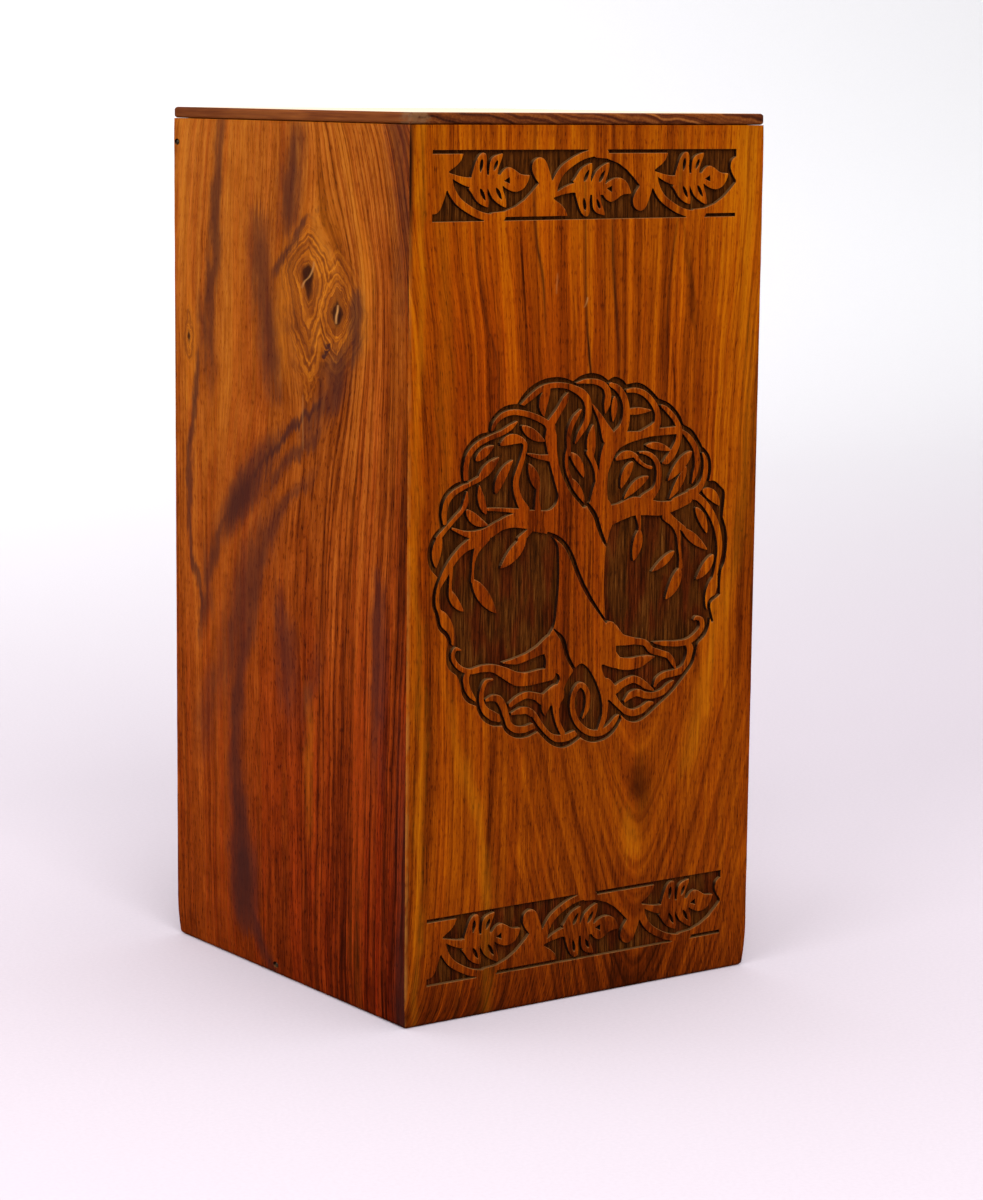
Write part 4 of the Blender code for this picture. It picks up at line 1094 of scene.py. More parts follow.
@dataclass(frozen=True)
class Rosewood:
    """One board's lacquered rosewood. A pair of number and number is a place up or
    across the board and the value there.

    The colours come first: the wood's tones from dark to light, the red of its blush,
    and its dark and golden streaks. Then how the grain is bent up and across the board
    and drawn together, how light it is, and how strong each layer of the figure is.
    Then the marks on it, the lacquer, whether the arrises that face up get a painted highlight, and
    where its arrises are worn."""

    name: str
    facing: Facing
    seed: float
    tones: tuple[Paint, Paint, Paint, Paint, Paint]
    red: Paint
    heart: Paint
    gold: Paint
    bend: Points = ((0, 0), (254, 0))
    bent: Points = ((-63, 1), (63, 1))
    narrow: Points = ((0, 1), (254, 1))
    centre: float = 0.0
    light: Points = ((0, 0), (254, 0))
    side_light: Points = ((-63, 0), (63, 0))
    stripes: Points = ((-63, 1), (63, 1))
    veins: Points = ((-63, 0.1), (63, 0.1))
    depth: float = 0.5
    mottled: float = 0.25
    broad: float = 1.0
    stripe: float = 1.2
    fibre: float = 0.7
    blush: float = 0.3
    ruddy: Points = ((0, 0), (254, 0))
    side_ruddy: Points = ((-63, 1), (63, 1))
    eddies: tuple[Eddy, ...] = ()
    knots: tuple[Knot, ...] = ()
    arches: Optional[Arches] = None
    hearts: tuple[Streak, ...] = ()
    lines: tuple[Streak, ...] = ()
    golds: tuple[Streak, ...] = ()
    pales: tuple[Streak, ...] = ()
    gloss: float = 0.02
    rough: float = 0.42
    relief: float = 0.012
    # Whether the arrises and walls that face up get a painted highlight.
    painted_highlights: bool = False
    worn: Points = ((0, 0), (254, 0))

    def grain(self, n: Nodes, u: Signal, h: Signal, seed: float) -> Signal:
        """The wood's stripes along one way of running.

        Args:
            n: The material's nodes.
            u: The place across the grain.
            h: The place along it.
            seed: Where in the cloud it is cut.

        Returns:
            The stripes, from about -0.5 to 0.5.
        """
        broad = Layer.BROAD.cut(n, u, h, seed)
        stripe = Layer.STRIPE.cut(n, u, h, seed)
        vein = (Layer.VEIN.cut(n, u, h, seed) - 0.5).size()
        dark = n.step(vein, 0.03, 0.0) * n.step(Layer.VEIN_BREAKS.cut(n, u, h, seed), 0.42, 0.6)
        return (broad - 0.5) * self.broad + (stripe - 0.5) * self.stripe - dark * 0.22

    def run(self, n: Nodes, across: Signal, height: Signal) -> Signal:
        """Bends the grain the way this board's runs.

        Args:
            n: The material's nodes.
            across: The place across the board, already a little wavy.
            height: The height.

        Returns:
            The place across the grain.
        """
        u = across + n.profile(height, self.bend) * n.profile(across, self.bent)
        u = (u - self.centre) / n.profile(height, self.narrow) + self.centre
        for eddy in self.eddies:
            u = u - eddy.parted(across, height)
        return u

    def lie(self, n: Nodes) -> Lie:
        """Works out how the wood lies.

        Args:
            n: The material's nodes.

        Returns:
            The places and the fine grain.
        """
        across, height, inward = self.facing.read(n.place())
        wander = Layer.WANDER.cut(n, across, height, self.seed) - 0.5
        wavy = across + wander * 2.6 + inward * 0.35
        over_grain = self.run(n, wavy, height)
        fibre = Layer.FIBRE.cut(n, over_grain, height, self.seed)
        pores = n.step(Layer.PORES.cut(n, over_grain, height, self.seed), 0.56, 0.68)
        strand = Layer.STRAND.cut(n, over_grain, height, self.seed) - 0.5
        churn = Layer.CHURN.cut(n, across, height, self.seed) - 0.5
        swell = Layer.SWELL.cut(n, across, height, self.seed) - 0.5
        return Lie(
            across, height, inward, wander, wavy, over_grain, fibre, pores, strand, churn,
            jitter=across + swell * 9.0 + churn * 2.4 + (fibre - 0.5) * 1.6,
            path=height + strand * 7.0 + churn * 2.0,
            ragged=height + (fibre - 0.5) * 22.0 + wander * 10.0,
            feather=(fibre - 0.5) * 1.0 + strand * 1.6 + 1.0,
        )

    def streaked(self, n: Nodes, lie: Lie, streaks: Sequence[Streak]) -> Signal:
        """How strongly the strongest of several ragged streaks shows at a place."""
        return strongest([s.shade(n, lie.jitter, lie.path, lie.ragged) for s in streaks])

    def tone(self, n: Nodes, lie: Lie, glow: Signal) -> Signal:
        """How light the wood is.

        Args:
            n: The material's nodes.
            lie: How the wood lies.
            glow: How strongly the golden streaks show.

        Returns:
            The place on the scale of tones.
        """
        stripes = n.profile(lie.across, self.stripes)
        tone = self.grain(n, lie.over_grain, lie.height, self.seed) * stripes
        vein = (Layer.FINE_VEIN.cut(n, lie.over_grain, lie.height, self.seed) - 0.5).size()
        tone = tone - n.step(vein, 0.1, 0.0) * n.profile(lie.across, self.veins)
        if self.arches is not None:
            arch = self.arches.grain(lie.wavy, lie.height)
            low = self.arches.strength(n, lie.wavy, lie.height, lie.wander)
            arched = self.grain(n, arch, lie.height, self.seed + ARCH_SEED)
            tone = tone * (-low + 1.0) + arched * low * 0.8
        tone = tone + (lie.fibre - 0.5) * self.fibre + lie.strand * 0.35 - lie.pores * 0.22
        mottle = Layer.MOTTLE.cut(n, lie.wavy, lie.height, self.seed) - 0.5
        tone = tone + glow * 0.16 + 0.53 + n.profile(lie.height, self.light)
        return tone + n.profile(lie.across, self.side_light) + mottle * self.mottled

    def knotted(self, n: Nodes, across: Signal, height: Signal, colour: Signal) -> Signal:
        """Draws the knots and their rings into the wood.

        Args:
            n: The material's nodes.
            across: The place across the board.
            height: The height.
            colour: The wood's colour.

        Returns:
            The colour with the knots in it.
        """
        ripple = Layer.RIPPLE.cut(n, across, height, self.seed) - 0.5
        broken = Layer.BROKEN.cut(n, across, height, self.seed) - 0.5
        fars = [knot.rings(across, height) for knot in self.knots]
        inside = strongest([
            n.step(far / knot.reach + ripple * 1.6 + broken * 0.5, 1.5, 0.6)
            for knot, far in zip(self.knots, fars)
        ])
        rings = fars[0]
        for far in fars[1:]:
            rings = rings.least(far)
        ring = Layer.KNOT_RING.cut(n, rings + ripple * 6.0 + broken * 1.2, across, self.seed)
        ringed = n.ramp(ring + ripple * 0.3 + broken * 0.12, KNOT_RINGS)
        colour = n.mixed(inside * (broken * 0.6 + 0.72), colour, ringed)
        hearts = strongest([
            n.step(far + ripple * 2.6, knot.heart * 1.15, knot.heart * 0.5)
            for knot, far in zip(self.knots, fars)
        ])
        return n.mixed(hearts * 0.9, colour, KNOT_HEART)

    def darkened(self, n: Nodes, lie: Lie, colour: Signal) -> Signal:
        """Lays in the dark heartwood bands.

        Args:
            n: The material's nodes.
            lie: How the wood lies.
            colour: The wood's colour.

        Returns:
            The colour with the bands in it.
        """
        dark = self.streaked(n, lie, self.hearts)
        grainy = lie.strand * 0.6 + lie.churn * 0.6 + (lie.fibre - 0.5) * 0.5
        dark = dark + grainy * dark.root()
        colour = n.mixed(n.step(dark, 0.08, 0.6) * self.depth, colour, self.heart)
        return n.mixed(n.step(dark, 0.5, 1.0) * 0.75, colour, self.heart)

    def lined(self, n: Nodes, lie: Lie, colour: Signal) -> Signal:
        """Lays in the fine dark lines and the pale scratches.

        Args:
            n: The material's nodes.
            lie: How the wood lies.
            colour: The wood's colour.

        Returns:
            The colour with the lines in it.
        """
        fine = lie.across + lie.wander * 0.8
        for streaks, over in ((self.lines, DARK_LINE), (self.pales, PALE_LINE)):
            for streak in streaks:
                shown = streak.shade(n, fine, lie.height, lie.height) * lie.feather
                colour = n.mixed(shown, colour, over)
        return colour

    def edged(self, n: Nodes, lie: Lie, colour: Signal) -> Signal:
        """Wears the left arris pale and paints a highlight on the arrises that face up.

        Args:
            n: The material's nodes.
            lie: How the wood lies.
            colour: The wood's colour.

        Returns:
            The colour with the worn places in it.
        """
        arris = n.step(lie.across, 1.6 - WIDTH / 2, 0.4 - WIDTH / 2)
        arris = arris * n.step(lie.churn, -0.25, 0.15)
        colour = n.mixed(arris * n.profile(lie.height, self.worn), colour, WORN_ARRIS)
        if self.painted_highlights:
            # Painted highlight on the carving's arrises and walls that face up, kept off the board's
            # top.
            lit = n.step(n.upward(), 0.05, 0.3) * n.step(lie.inward, 0.004, 0.05)
            lit = lit * n.step(lie.height, HEIGHT - 6.0, HEIGHT - 7.0)
            colour = n.mixed(lit * n.step(lie.churn, -0.3, 0.2) * 0.62, colour, ARRIS_HIGHLIGHT)
        return colour

    def make(self) -> bpy.types.Material:
        """Builds the finish.

        Returns:
            The material.
        """
        n = Nodes(self.name)
        lie = self.lie(n)
        glow = self.streaked(n, lie, self.golds) * lie.feather
        colour = n.ramp(self.tone(n, lie, glow), list(zip(TONE_PLACES, self.tones)))
        blush = n.step(Layer.BLUSH.cut(n, lie.over_grain, lie.height, self.seed), 0.45, 0.62)
        ruddy = n.profile(lie.height, self.ruddy) * n.profile(lie.across, self.side_ruddy)
        colour = n.tinted(blush * self.blush + ruddy, colour, self.red)
        colour = n.mixed(glow * 0.45, colour, self.gold)
        if self.knots:
            colour = self.knotted(n, lie.wavy, lie.height, colour)
        colour = self.edged(n, lie, self.lined(n, lie, self.darkened(n, lie, colour)))
        rough = lie.fibre * 0.16 + (self.rough - 0.08) + lie.pores * 0.1
        planed = Layer.PLANING.cut(n, lie.across, lie.height, self.seed)
        relief = lie.fibre * 0.6 - lie.pores * 0.8 + planed * 3.0
        return n.finish(colour, rough, relief, self.relief, Specular_IOR_Level=self.gloss)


@dataclass(frozen=True)
class StreakedGround:
    """The carving's ground as the cutter left it: brown, open-grained, with fine upright streaks."""

    name: str = "streaked_ground"
    tones: Stops = ((0.0, (26, 10, 1)), (0.35, (52, 22, 2)), (0.65, (74, 36, 5)), (1.0, (98, 56, 16)))
    red: Paint = (120, 30, 2)
    fleck: Paint = (24, 9, 2)

    def make(self) -> bpy.types.Material:
        """Builds the finish.

        Returns:
            The material.
        """
        n = Nodes(self.name)
        x, _, z = n.place()
        fibre = n.cloud(x / 0.42, z / 9.0, 3.0, 2.0, 0.6)
        stripe = n.cloud(x / 1.5, z / 60.0, 8.0, 1.0)
        fleck = n.step(n.cloud(x / 0.34, z / 2.6, 5.0, 1.0), 0.6, 0.72)
        tone = (fibre - 0.5) * 1.8 + (stripe - 0.5) * 1.0 + 0.46
        red = n.step(n.cloud(x / 5.0, z / 16.0, 15.0, 2.0), 0.42, 0.62) * n.step(z, 170.0, 120.0)
        colour = n.tinted(red * 0.55, n.ramp(tone, self.tones), self.red)
        colour = n.mixed(fleck * 0.6, colour, self.fleck)
        relief = fibre - fleck * 0.8
        return n.finish(colour, fibre * 0.2 + 0.6, relief, 0.06, Specular_IOR_Level=0.02)


@dataclass(frozen=True)
class BurntWall:
    """The carving's steep walls, scorched by the cutter, with a painted highlight in pale brown where
    they face up.
    """

    name: str = "burnt_wall"
    soot: Stops = ((0.3, (16, 6, 3)), (0.7, (40, 17, 7)))
    # The pale brown is a painted highlight for the walls that face up.
    painted_highlight: Paint = (120, 82, 46)

    def make(self) -> bpy.types.Material:
        """Builds the finish.

        Returns:
            The material.
        """
        n = Nodes(self.name)
        x, y, z = n.place()
        soot = n.cloud(x / 0.5, z / 0.5, y / 0.3, 2.0)
        # Walls that face up are mixed towards the pale brown: a painted highlight standing in for light
        # from above.
        colour = n.mixed(n.step(n.upward(), 0.2, 0.9) * 0.5, n.ramp(soot, self.soot), self.painted_highlight)
        return n.finish(colour, soot * 0.2 + 0.6, soot, 0.02, Specular_IOR_Level=0.05)


@dataclass(frozen=True)
class LidWood:
    """The lid's darker rosewood, its grain front to back, with end grain on the front and
    back edges, one worn corner, placed by how far left of the middle and in front of it
    it lies, and a pale sheen where the top is seen almost edge-on."""

    name: str = "lid_rosewood"
    ends: Stops = ((0.0, (40, 14, 4)), (0.35, (70, 28, 6)), (0.65, (98, 46, 10)), (1.0, (132, 76, 28)))
    flanks: Stops = (
        (0.0, (66, 27, 8)), (0.35, (98, 46, 13)), (0.65, (122, 64, 20)), (1.0, (150, 90, 36))
    )
    tops: Stops = ((0.0, (64, 25, 5)), (0.35, (98, 43, 6)), (0.65, (122, 60, 9)), (1.0, (148, 86, 24)))
    bare: Paint = (107, 74, 46)
    sheen: Paint = (236, 214, 190)
    worn_at: Point = (59.0, 61.0)
    worn_size: Point = (4.5, 4.0)

    def make(self) -> bpy.types.Material:
        """Builds the finish.

        Returns:
            The material.
        """
        n = Nodes(self.name)
        x, y, z = n.place()
        wave = (n.cloud(x / 14.0, y / 60.0, 2.0, 2.0) - 0.5) * 5.0
        rings = n.cloud((x * 0.16 + z + wave) / 1.3, y / 200.0, 4.0, 2.0, 0.6)
        long_grain = n.cloud((x + wave) / 2.2, y / 150.0, z / 6.0, 3.0, 0.65)
        fibre = n.cloud(x / 0.5, y / 14.0, z / 0.5, 2.0, 0.6)
        end = n.step(y.size(), DEPTH / 2 - 1.2, DEPTH / 2 - 0.3)
        tone = rings * end + long_grain * (-end + 1.0)
        tone = (tone - 0.5) * (end * 0.9 + 1.4) + (fibre - 0.5) * 0.7 + 0.48
        upper = n.step(z, HEIGHT - 0.5, HEIGHT - 0.05)
        edge = n.mixed(end, n.ramp(tone, self.flanks), n.ramp(tone, self.ends))
        colour = n.mixed(upper, edge, n.ramp(tone, self.tops))
        dx, dy = ((v + at) / size for v, at, size in zip((x, y), self.worn_at, self.worn_size))
        ragged = (n.cloud(x / 1.3, y / 1.3, z / 1.3, 3.0) - 0.5) * 1.4
        worn = n.step((dx * dx + dy * dy).root() + ragged, 1.05, 0.5)
        colour = n.mixed(worn * 0.75, colour, self.bare)
        glance = Signal(n.tree, n.node("LayerWeight").outputs["Facing"])
        colour = n.mixed(n.step(glance, 0.95, 0.985) * upper, colour, self.sheen)
        return n.finish(colour, fibre * 0.2 + 0.38, fibre, 0.02, Specular_IOR_Level=0.1)


@dataclass(frozen=True)
class PlainWood:
    """The floor board's plainer wood, waxed and a little dusty."""

    name: str = "floor_rosewood"
    tones: Stops = (
        (0.0, (70, 32, 14)), (0.35, (112, 58, 24)), (0.65, (142, 80, 34)), (1.0, (176, 112, 58))
    )

    def make(self) -> bpy.types.Material:
        """Builds the finish.

        Returns:
            The material.
        """
        n = Nodes(self.name)
        x, y, z = n.place()
        wave = (n.cloud(x / 30.0, y / 30.0, 1.0, 2.0) - 0.5) * 10.0
        stripe = n.cloud((x + wave) / 2.6, y / 120.0, z / 9.0, 3.0, 0.6)
        fibre = n.cloud(x / 0.45, y / 12.0, z / 0.45, 2.0)
        tone = (stripe - 0.5) * 2.4 + (fibre - 0.5) * 0.6 + 0.5
        colour = n.ramp(tone, self.tones)
        return n.finish(colour, fibre * 0.2 + 0.5, fibre, 0.03, Specular_IOR_Level=0.3)


@dataclass(frozen=True)
class DarkSteel:
    """The brads' steel, browned and hammer-marked."""

    name: str = "dark_steel"
    tones: Stops = ((0.3, (58, 44, 34)), (0.55, (104, 86, 66)), (0.75, (76, 50, 34)))

    def make(self) -> bpy.types.Material:
        """Builds the finish.

        Returns:
            The material.
        """
        n = Nodes(self.name)
        x, y, z = n.place()
        spots = n.cloud(x / 0.35, y / 0.35, z / 0.35, 3.0)
        return n.finish(n.ramp(spots, self.tones), spots * 0.3 + 0.3, spots, 0.03, Metallic=0.7)


@dataclass(frozen=True)
class PaleSweep:
    """The studio's plain pale paper, with painted shading: darker near the box, lighter towards the
    back and the top.
    """

    name: str = "pale_sweep"
    near: Stops = ((0.3, (196, 187, 195)), (0.7, (200, 191, 199)))
    far: Stops = ((0.3, (247, 247, 249)), (0.7, (250, 250, 252)))

    def make(self) -> bpy.types.Material:
        """Builds the finish.

        Returns:
            The material.
        """
        n = Nodes(self.name)
        x, y, z = n.place()
        tooth = n.cloud(x / 1.2, y / 1.2, z / 1.2, 2.0)
        # Painted shading: the paper's colour goes from darker near the box to lighter further back and
        # up.
        away = n.step(y / 1000.0 + z / 900.0, 0.1, 1.6)
        colour = n.mixed(away, n.ramp(tooth, self.near), n.ramp(tooth, self.far))
        return n.finish(colour, tooth * 0.1 + 0.85, tooth, 0.02, Specular_IOR_Level=0.1)


class Finish(Protocol):
    """Anything that a piece can be dressed in."""

    name: str

    def make(self) -> bpy.types.Material:
        """Builds the finish's material."""


FINISHES: dict[str, bpy.types.Material] = {}


def dressed(finish: Finish) -> bpy.types.Material:
    """Makes a finish's material once.

    Args:
        finish: The finish.

    Returns:
        Its material.
    """
    if finish.name not in FINISHES:
        FINISHES[finish.name] = finish.make()
    return FINISHES[finish.name]


def finished(mesh: bpy.types.Mesh, node: str) -> bpy.types.Object:
    """Smooths a mesh, links it and puts it in its node's place.

    Args:
        mesh: The mesh.
        node: The CAD node that it stands for.

    Returns:
        The new object.
    """
    mesh.polygons.foreach_set("use_smooth", [True] * len(mesh.polygons))
    mesh.set_sharp_from_angle(angle=math.radians(34))
    mesh.update()
    made = bpy.data.objects.new(node + "_dressed", mesh)
    bpy.context.scene.collection.objects.link(made)
    even = made.modifiers.new("even_shading", "WEIGHTED_NORMAL")
    even.keep_sharp = True
    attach(made, "root")
    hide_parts(node)
    return made


@dataclass
class Carving:
    """The engraving on the front board: the roundel and the two bands, with a
    softly broken arris, steep walls and a slightly uneven ground. Its mesh follows
    the lines at the given distances from the cut's edge, each as deep as given."""

    step: float = 0.14
    levels: tuple[float, ...] = (0.16, 0.0, -0.1, -0.6)
    depths: tuple[float, ...] = (0.0, 0.07, CARVE_DEPTH, CARVE_DEPTH - 0.06)
    tolerance: float = 0.012
    longest: float = 1.6
    smallest: int = 8
    places: list[tuple[Drawing, float]] = field(default_factory=list)

    def draw(self) -> None:
        """Draws the roundel and the bands where they lie."""
        scroll = scroll_ground(self.step)
        self.places = [(roundel_ground(self.step), ROUNDEL_HEIGHT)]
        self.places += [(scroll, height) for height in BAND_HEIGHTS]

    def edges(self) -> list[np.ndarray]:
        """Gives every line of the carving.

        Returns:
            The lines' points, in millimetres on the face.
        """
        found = []
        for drawing, height in self.places:
            for level in self.levels:
                for loop in drawing.outlines(level):
                    if len(loop) >= self.smallest:
                        kept = thinned(loop, self.tolerance, self.longest)
                        found.append(kept + (CARVING_SHIFT, height))
        return found

    def away(self, across: np.ndarray, height: np.ndarray) -> np.ndarray:
        """How far places on the face are from the cut, negative in it."""
        return np.minimum.reduce([d.at(across - CARVING_SHIFT, height - h) for d, h in self.places])

    def depth(self, across: np.ndarray, height: np.ndarray) -> np.ndarray:
        """How deep the carving is at places on the face."""
        return np.interp(-self.away(across, height), [-v for v in self.levels], self.depths)


@dataclass
class Board:
    """One mitred board, its arrises eased by hand and its foot sanded in. Its seam is
    how far its face stops short of the corner, and its skin how far it lies under the
    CAD's face. A hole's rims are half its width and height, and its depth goes by the
    share of the outer rim. Cuts are walls from one depth and ground from the next."""

    name: str
    finish: Rosewood
    holes: tuple[Point, ...] = ()
    carving: Optional[Carving] = None
    arris: float = 0.5
    head_arris: float = 0.25
    spacing: float = 5.0
    margin: float = 2.5
    rim_spacing: float = 3.0
    top: float = WALL_TOP + 0.2
    seam: float = 0.03
    skin: float = 0.03
    waves: float = 0.03
    tooling: float = 0.05
    rounds: tuple[float, ...] = (0.0, 0.2, 0.45, 0.72, 1.0)
    foot_lines: tuple[float, ...] = (2.0, 3.2, 5.0, 7.5, 10.0, 12.5)
    first_line: float = 17.0
    hole_rims: tuple[Point, ...] = ((1.45, 0.95), (1.3, 0.82))
    hole_slope: tuple[float, ...] = (0.0, 0.92, 0.98)
    hole_depths: tuple[float, ...] = (0.75, 0.7, 0.0)
    hole_room: float = 2.2
    cut_room: Point = (0.5, 0.9)
    wall_from: float = 0.12
    ground_from: float = 1.0

    @property
    def closed(self) -> float:
        """Half the face's width, up to the seam."""
        return self.finish.facing.half_width - self.seam

    @property
    def clear(self) -> float:
        """Half the face's width, up to the CAD's mitre gap."""
        return self.finish.facing.half_width - MITRE_GAP

    def taper(self, height: float) -> float:
        """How far the foot is sanded in at a height."""
        return FOOT_TAPER * max(0.0, 1 - height / FOOT_RISE) ** 1.5

    def eased(self, side: float, height: float) -> float:
        """How round an upright arris is: uneven, and more worn at the front corner's top.

        Args:
            side: -1 for the left arris, 1 for the right.
            height: The height.

        Returns:
            The arris's radius.
        """
        uneven = noise.noise(Vector((height / 9.0, side * 7.0, self.finish.seed))) * 0.35
        worn = 0.9 * math.exp(-((self.top - height) / 4.0) ** 2)
        near = {Facing.FRONT: -1, Facing.LEFT: 1}.get(self.finish.facing, 0)
        return self.arris * (1 + uneven) + (worn if side == near else 0.25 * worn)

    def rim(self) -> list[tuple[float, float, str]]:
        """Goes once round the face.

        Returns:
            Each point as shares of the face's half width and height, and its side.
        """
        wide, tall = int(2 * self.clear / self.rim_spacing), int(self.top / self.rim_spacing)
        points = [(-1 + 2 * k / wide, 0.0, "foot") for k in range(wide)]
        points += [(1.0, k / tall, "right") for k in range(tall)]
        points += [(1 - 2 * k / wide, 1.0, "head") for k in range(wide)]
        points += [(-1.0, 1 - k / tall, "left") for k in range(tall)]
        return points

    def ring(self, turn: float) -> list[tuple[float, float, float]]:
        """Places the rim part of the way round the arris.

        Args:
            turn: 0 on the face, 1 where the arris ends.

        Returns:
            Across, height and inward of each point.
        """
        upright, level = turn * math.pi / 4, turn * math.pi / 2
        foot, head = FOOT_ROUND * (1 - math.sin(level)), self.head_arris * (1 - math.sin(level))
        placed = []
        for p, q, side in self.rim():
            r = self.eased(math.copysign(1.0, p), q * self.top)
            z = foot + q * (self.top - foot - head)
            x = p * (self.closed - r * (1 - math.sin(upright)))
            inward = 0.0
            if side in ("left", "right") or abs(p) > 0.999:
                inward = r * (1 - math.cos(upright))
            if side == "foot" or q < 0.001:
                inward = max(inward, FOOT_ROUND * (1 - math.cos(level)))
            if side == "head" or q > 0.999:
                inward = max(inward, self.head_arris * (1 - math.cos(level)))
            inward += self.taper(z)
            placed.append((math.copysign(min(abs(x), self.closed - inward), x), z, inward))
        return placed

    def cuts(self) -> list[np.ndarray]:
        """Gives the closed lines that the face's mesh follows.

        Returns:
            The carving's lines and the brad holes' rims.
        """
        loops = self.carving.edges() if self.carving else []
        angles = np.arange(24) * math.tau / 24
        for across, height in self.holes:
            for wide, tall in self.hole_rims:
                ring = [across + wide * np.cos(angles), height + tall * np.sin(angles)]
                loops.append(np.stack(ring, 1))
        return loops

    def inner(self) -> np.ndarray:
        """Spreads points over the face, clear of the cuts.

        Returns:
            The points' across and height.
        """
        reach = self.clear - self.margin
        heights = [*self.foot_lines, *np.arange(self.first_line, self.top - 2, self.spacing)]
        xs, zs = np.meshgrid(np.linspace(-reach, reach, int(2 * reach / self.spacing)), heights)
        xs, zs = xs.ravel(), zs.ravel()
        free = np.full(xs.shape, True)
        if self.carving:
            away = self.carving.away(xs, zs)
            free &= (away > self.cut_room[0]) | (away < -self.cut_room[1])
        for across, height in self.holes:
            free &= np.hypot(xs - across, zs - height) > self.hole_room
        return np.stack([xs, zs], 1)[free]

    def sunk(self, flat: np.ndarray) -> np.ndarray:
        """How deep the face is cut.

        Args:
            flat: The points' across and height.

        Returns:
            The depth at each point.
        """
        depth = self.carving.depth(flat[:, 0], flat[:, 1]) if self.carving else np.zeros(len(flat))
        wide, tall = self.hole_rims[0]
        for across, height in self.holes:
            share = np.hypot((flat[:, 0] - across) / wide, (flat[:, 1] - height) / tall)
            depth = np.maximum(depth, np.interp(share, self.hole_slope, self.hole_depths))
        return depth

    def face(self, edge: list[Point]) -> tuple[list[Point], list[tuple[int, ...]], np.ndarray]:
        """Meshes the outer face, carving and brad holes included.

        Args:
            edge: The face's own outline.

        Returns:
            The points, starting with the outline's, the faces, and how deep each point is cut.
        """
        points = [Vector(p) for p in edge]
        links = [(k, (k + 1) % len(edge)) for k in range(len(edge))]
        for loop in self.cuts():
            start = len(points)
            points += [Vector(p) for p in loop.tolist()]
            links += [(start + k, start + (k + 1) % len(loop)) for k in range(len(loop))]
        points += [Vector(p) for p in self.inner().tolist()]
        verts, _, faces, origin, _, _ = geometry.delaunay_2d_cdt(points, links, [], 0, 1e-5)
        first = {olds[0]: k for k, olds in enumerate(origin) if olds and olds[0] < len(edge)}
        order = [first[k] for k in range(len(edge))]
        taken = set(order)
        order += [k for k in range(len(verts)) if k not in taken]
        new = {k: i for i, k in enumerate(order)}
        flat = np.array([verts[k][:] for k in order])
        return flat.tolist(), [tuple(new[k] for k in f) for f in faces], self.sunk(flat)

    def lowered(self, x: float, z: float, cut: float) -> tuple[float, float, float]:
        """Places a point inside the face, with the board's waves and the cutter's marks.

        Args:
            x: The place across.
            z: The height.
            cut: How deep it is cut.

        Returns:
            Across, height and inward.
        """
        wave = self.waves * noise.noise(Vector((x / 11.0, z / 17.0, self.finish.seed)))
        rough = 0.0
        if cut > self.ground_from:
            rough = self.tooling * noise.noise(Vector((x / 2.0, z / 8.0, 4.0)))
        return x, z, max(0.0, cut + self.taper(z) + wave + self.skin + rough)

    def build(self) -> bpy.types.Object:
        """Builds the board's mesh and dresses it.

        Returns:
            The board.
        """
        rings = [self.ring(turn) for turn in self.rounds]
        inner = self.closed - WALL
        rings.append([(p * inner, q * self.top, WALL) for p, q, _ in self.rim()])
        count = len(rings[0])
        flat, faces, depth = self.face([(x, z) for x, z, _ in rings[0]])
        added = zip(flat[count:], depth[count:].tolist())
        spots = rings[0] + [self.lowered(x, z, cut) for (x, z), cut in added]
        cuts = [depth[list(f)] for f in faces]
        slots = [0 if max(c) < self.wall_from else 2 if min(c) > self.ground_from else 1 for c in cuts]
        quads, start = [], 0
        for ring in rings[1:]:
            following = len(spots)
            for k in range(count):
                m = (k + 1) % count
                quads.append((start + m, start + k, following + k, following + m))
            spots += ring
            start = following
        back = tuple(range(start, start + count))[::-1]
        mesh = bpy.data.meshes.new(self.name + "_dressed")
        mesh.from_pydata([self.finish.facing.world(*s) for s in spots], [], faces + quads + [back])
        mesh.polygons.foreach_set("material_index", slots + [0] * (len(quads) + 1))
        cut_through = (BurntWall(), StreakedGround()) if self.carving or self.holes else ()
        for finish in (self.finish, *cut_through):
            mesh.materials.append(dressed(finish))
        return finished(mesh, self.name)


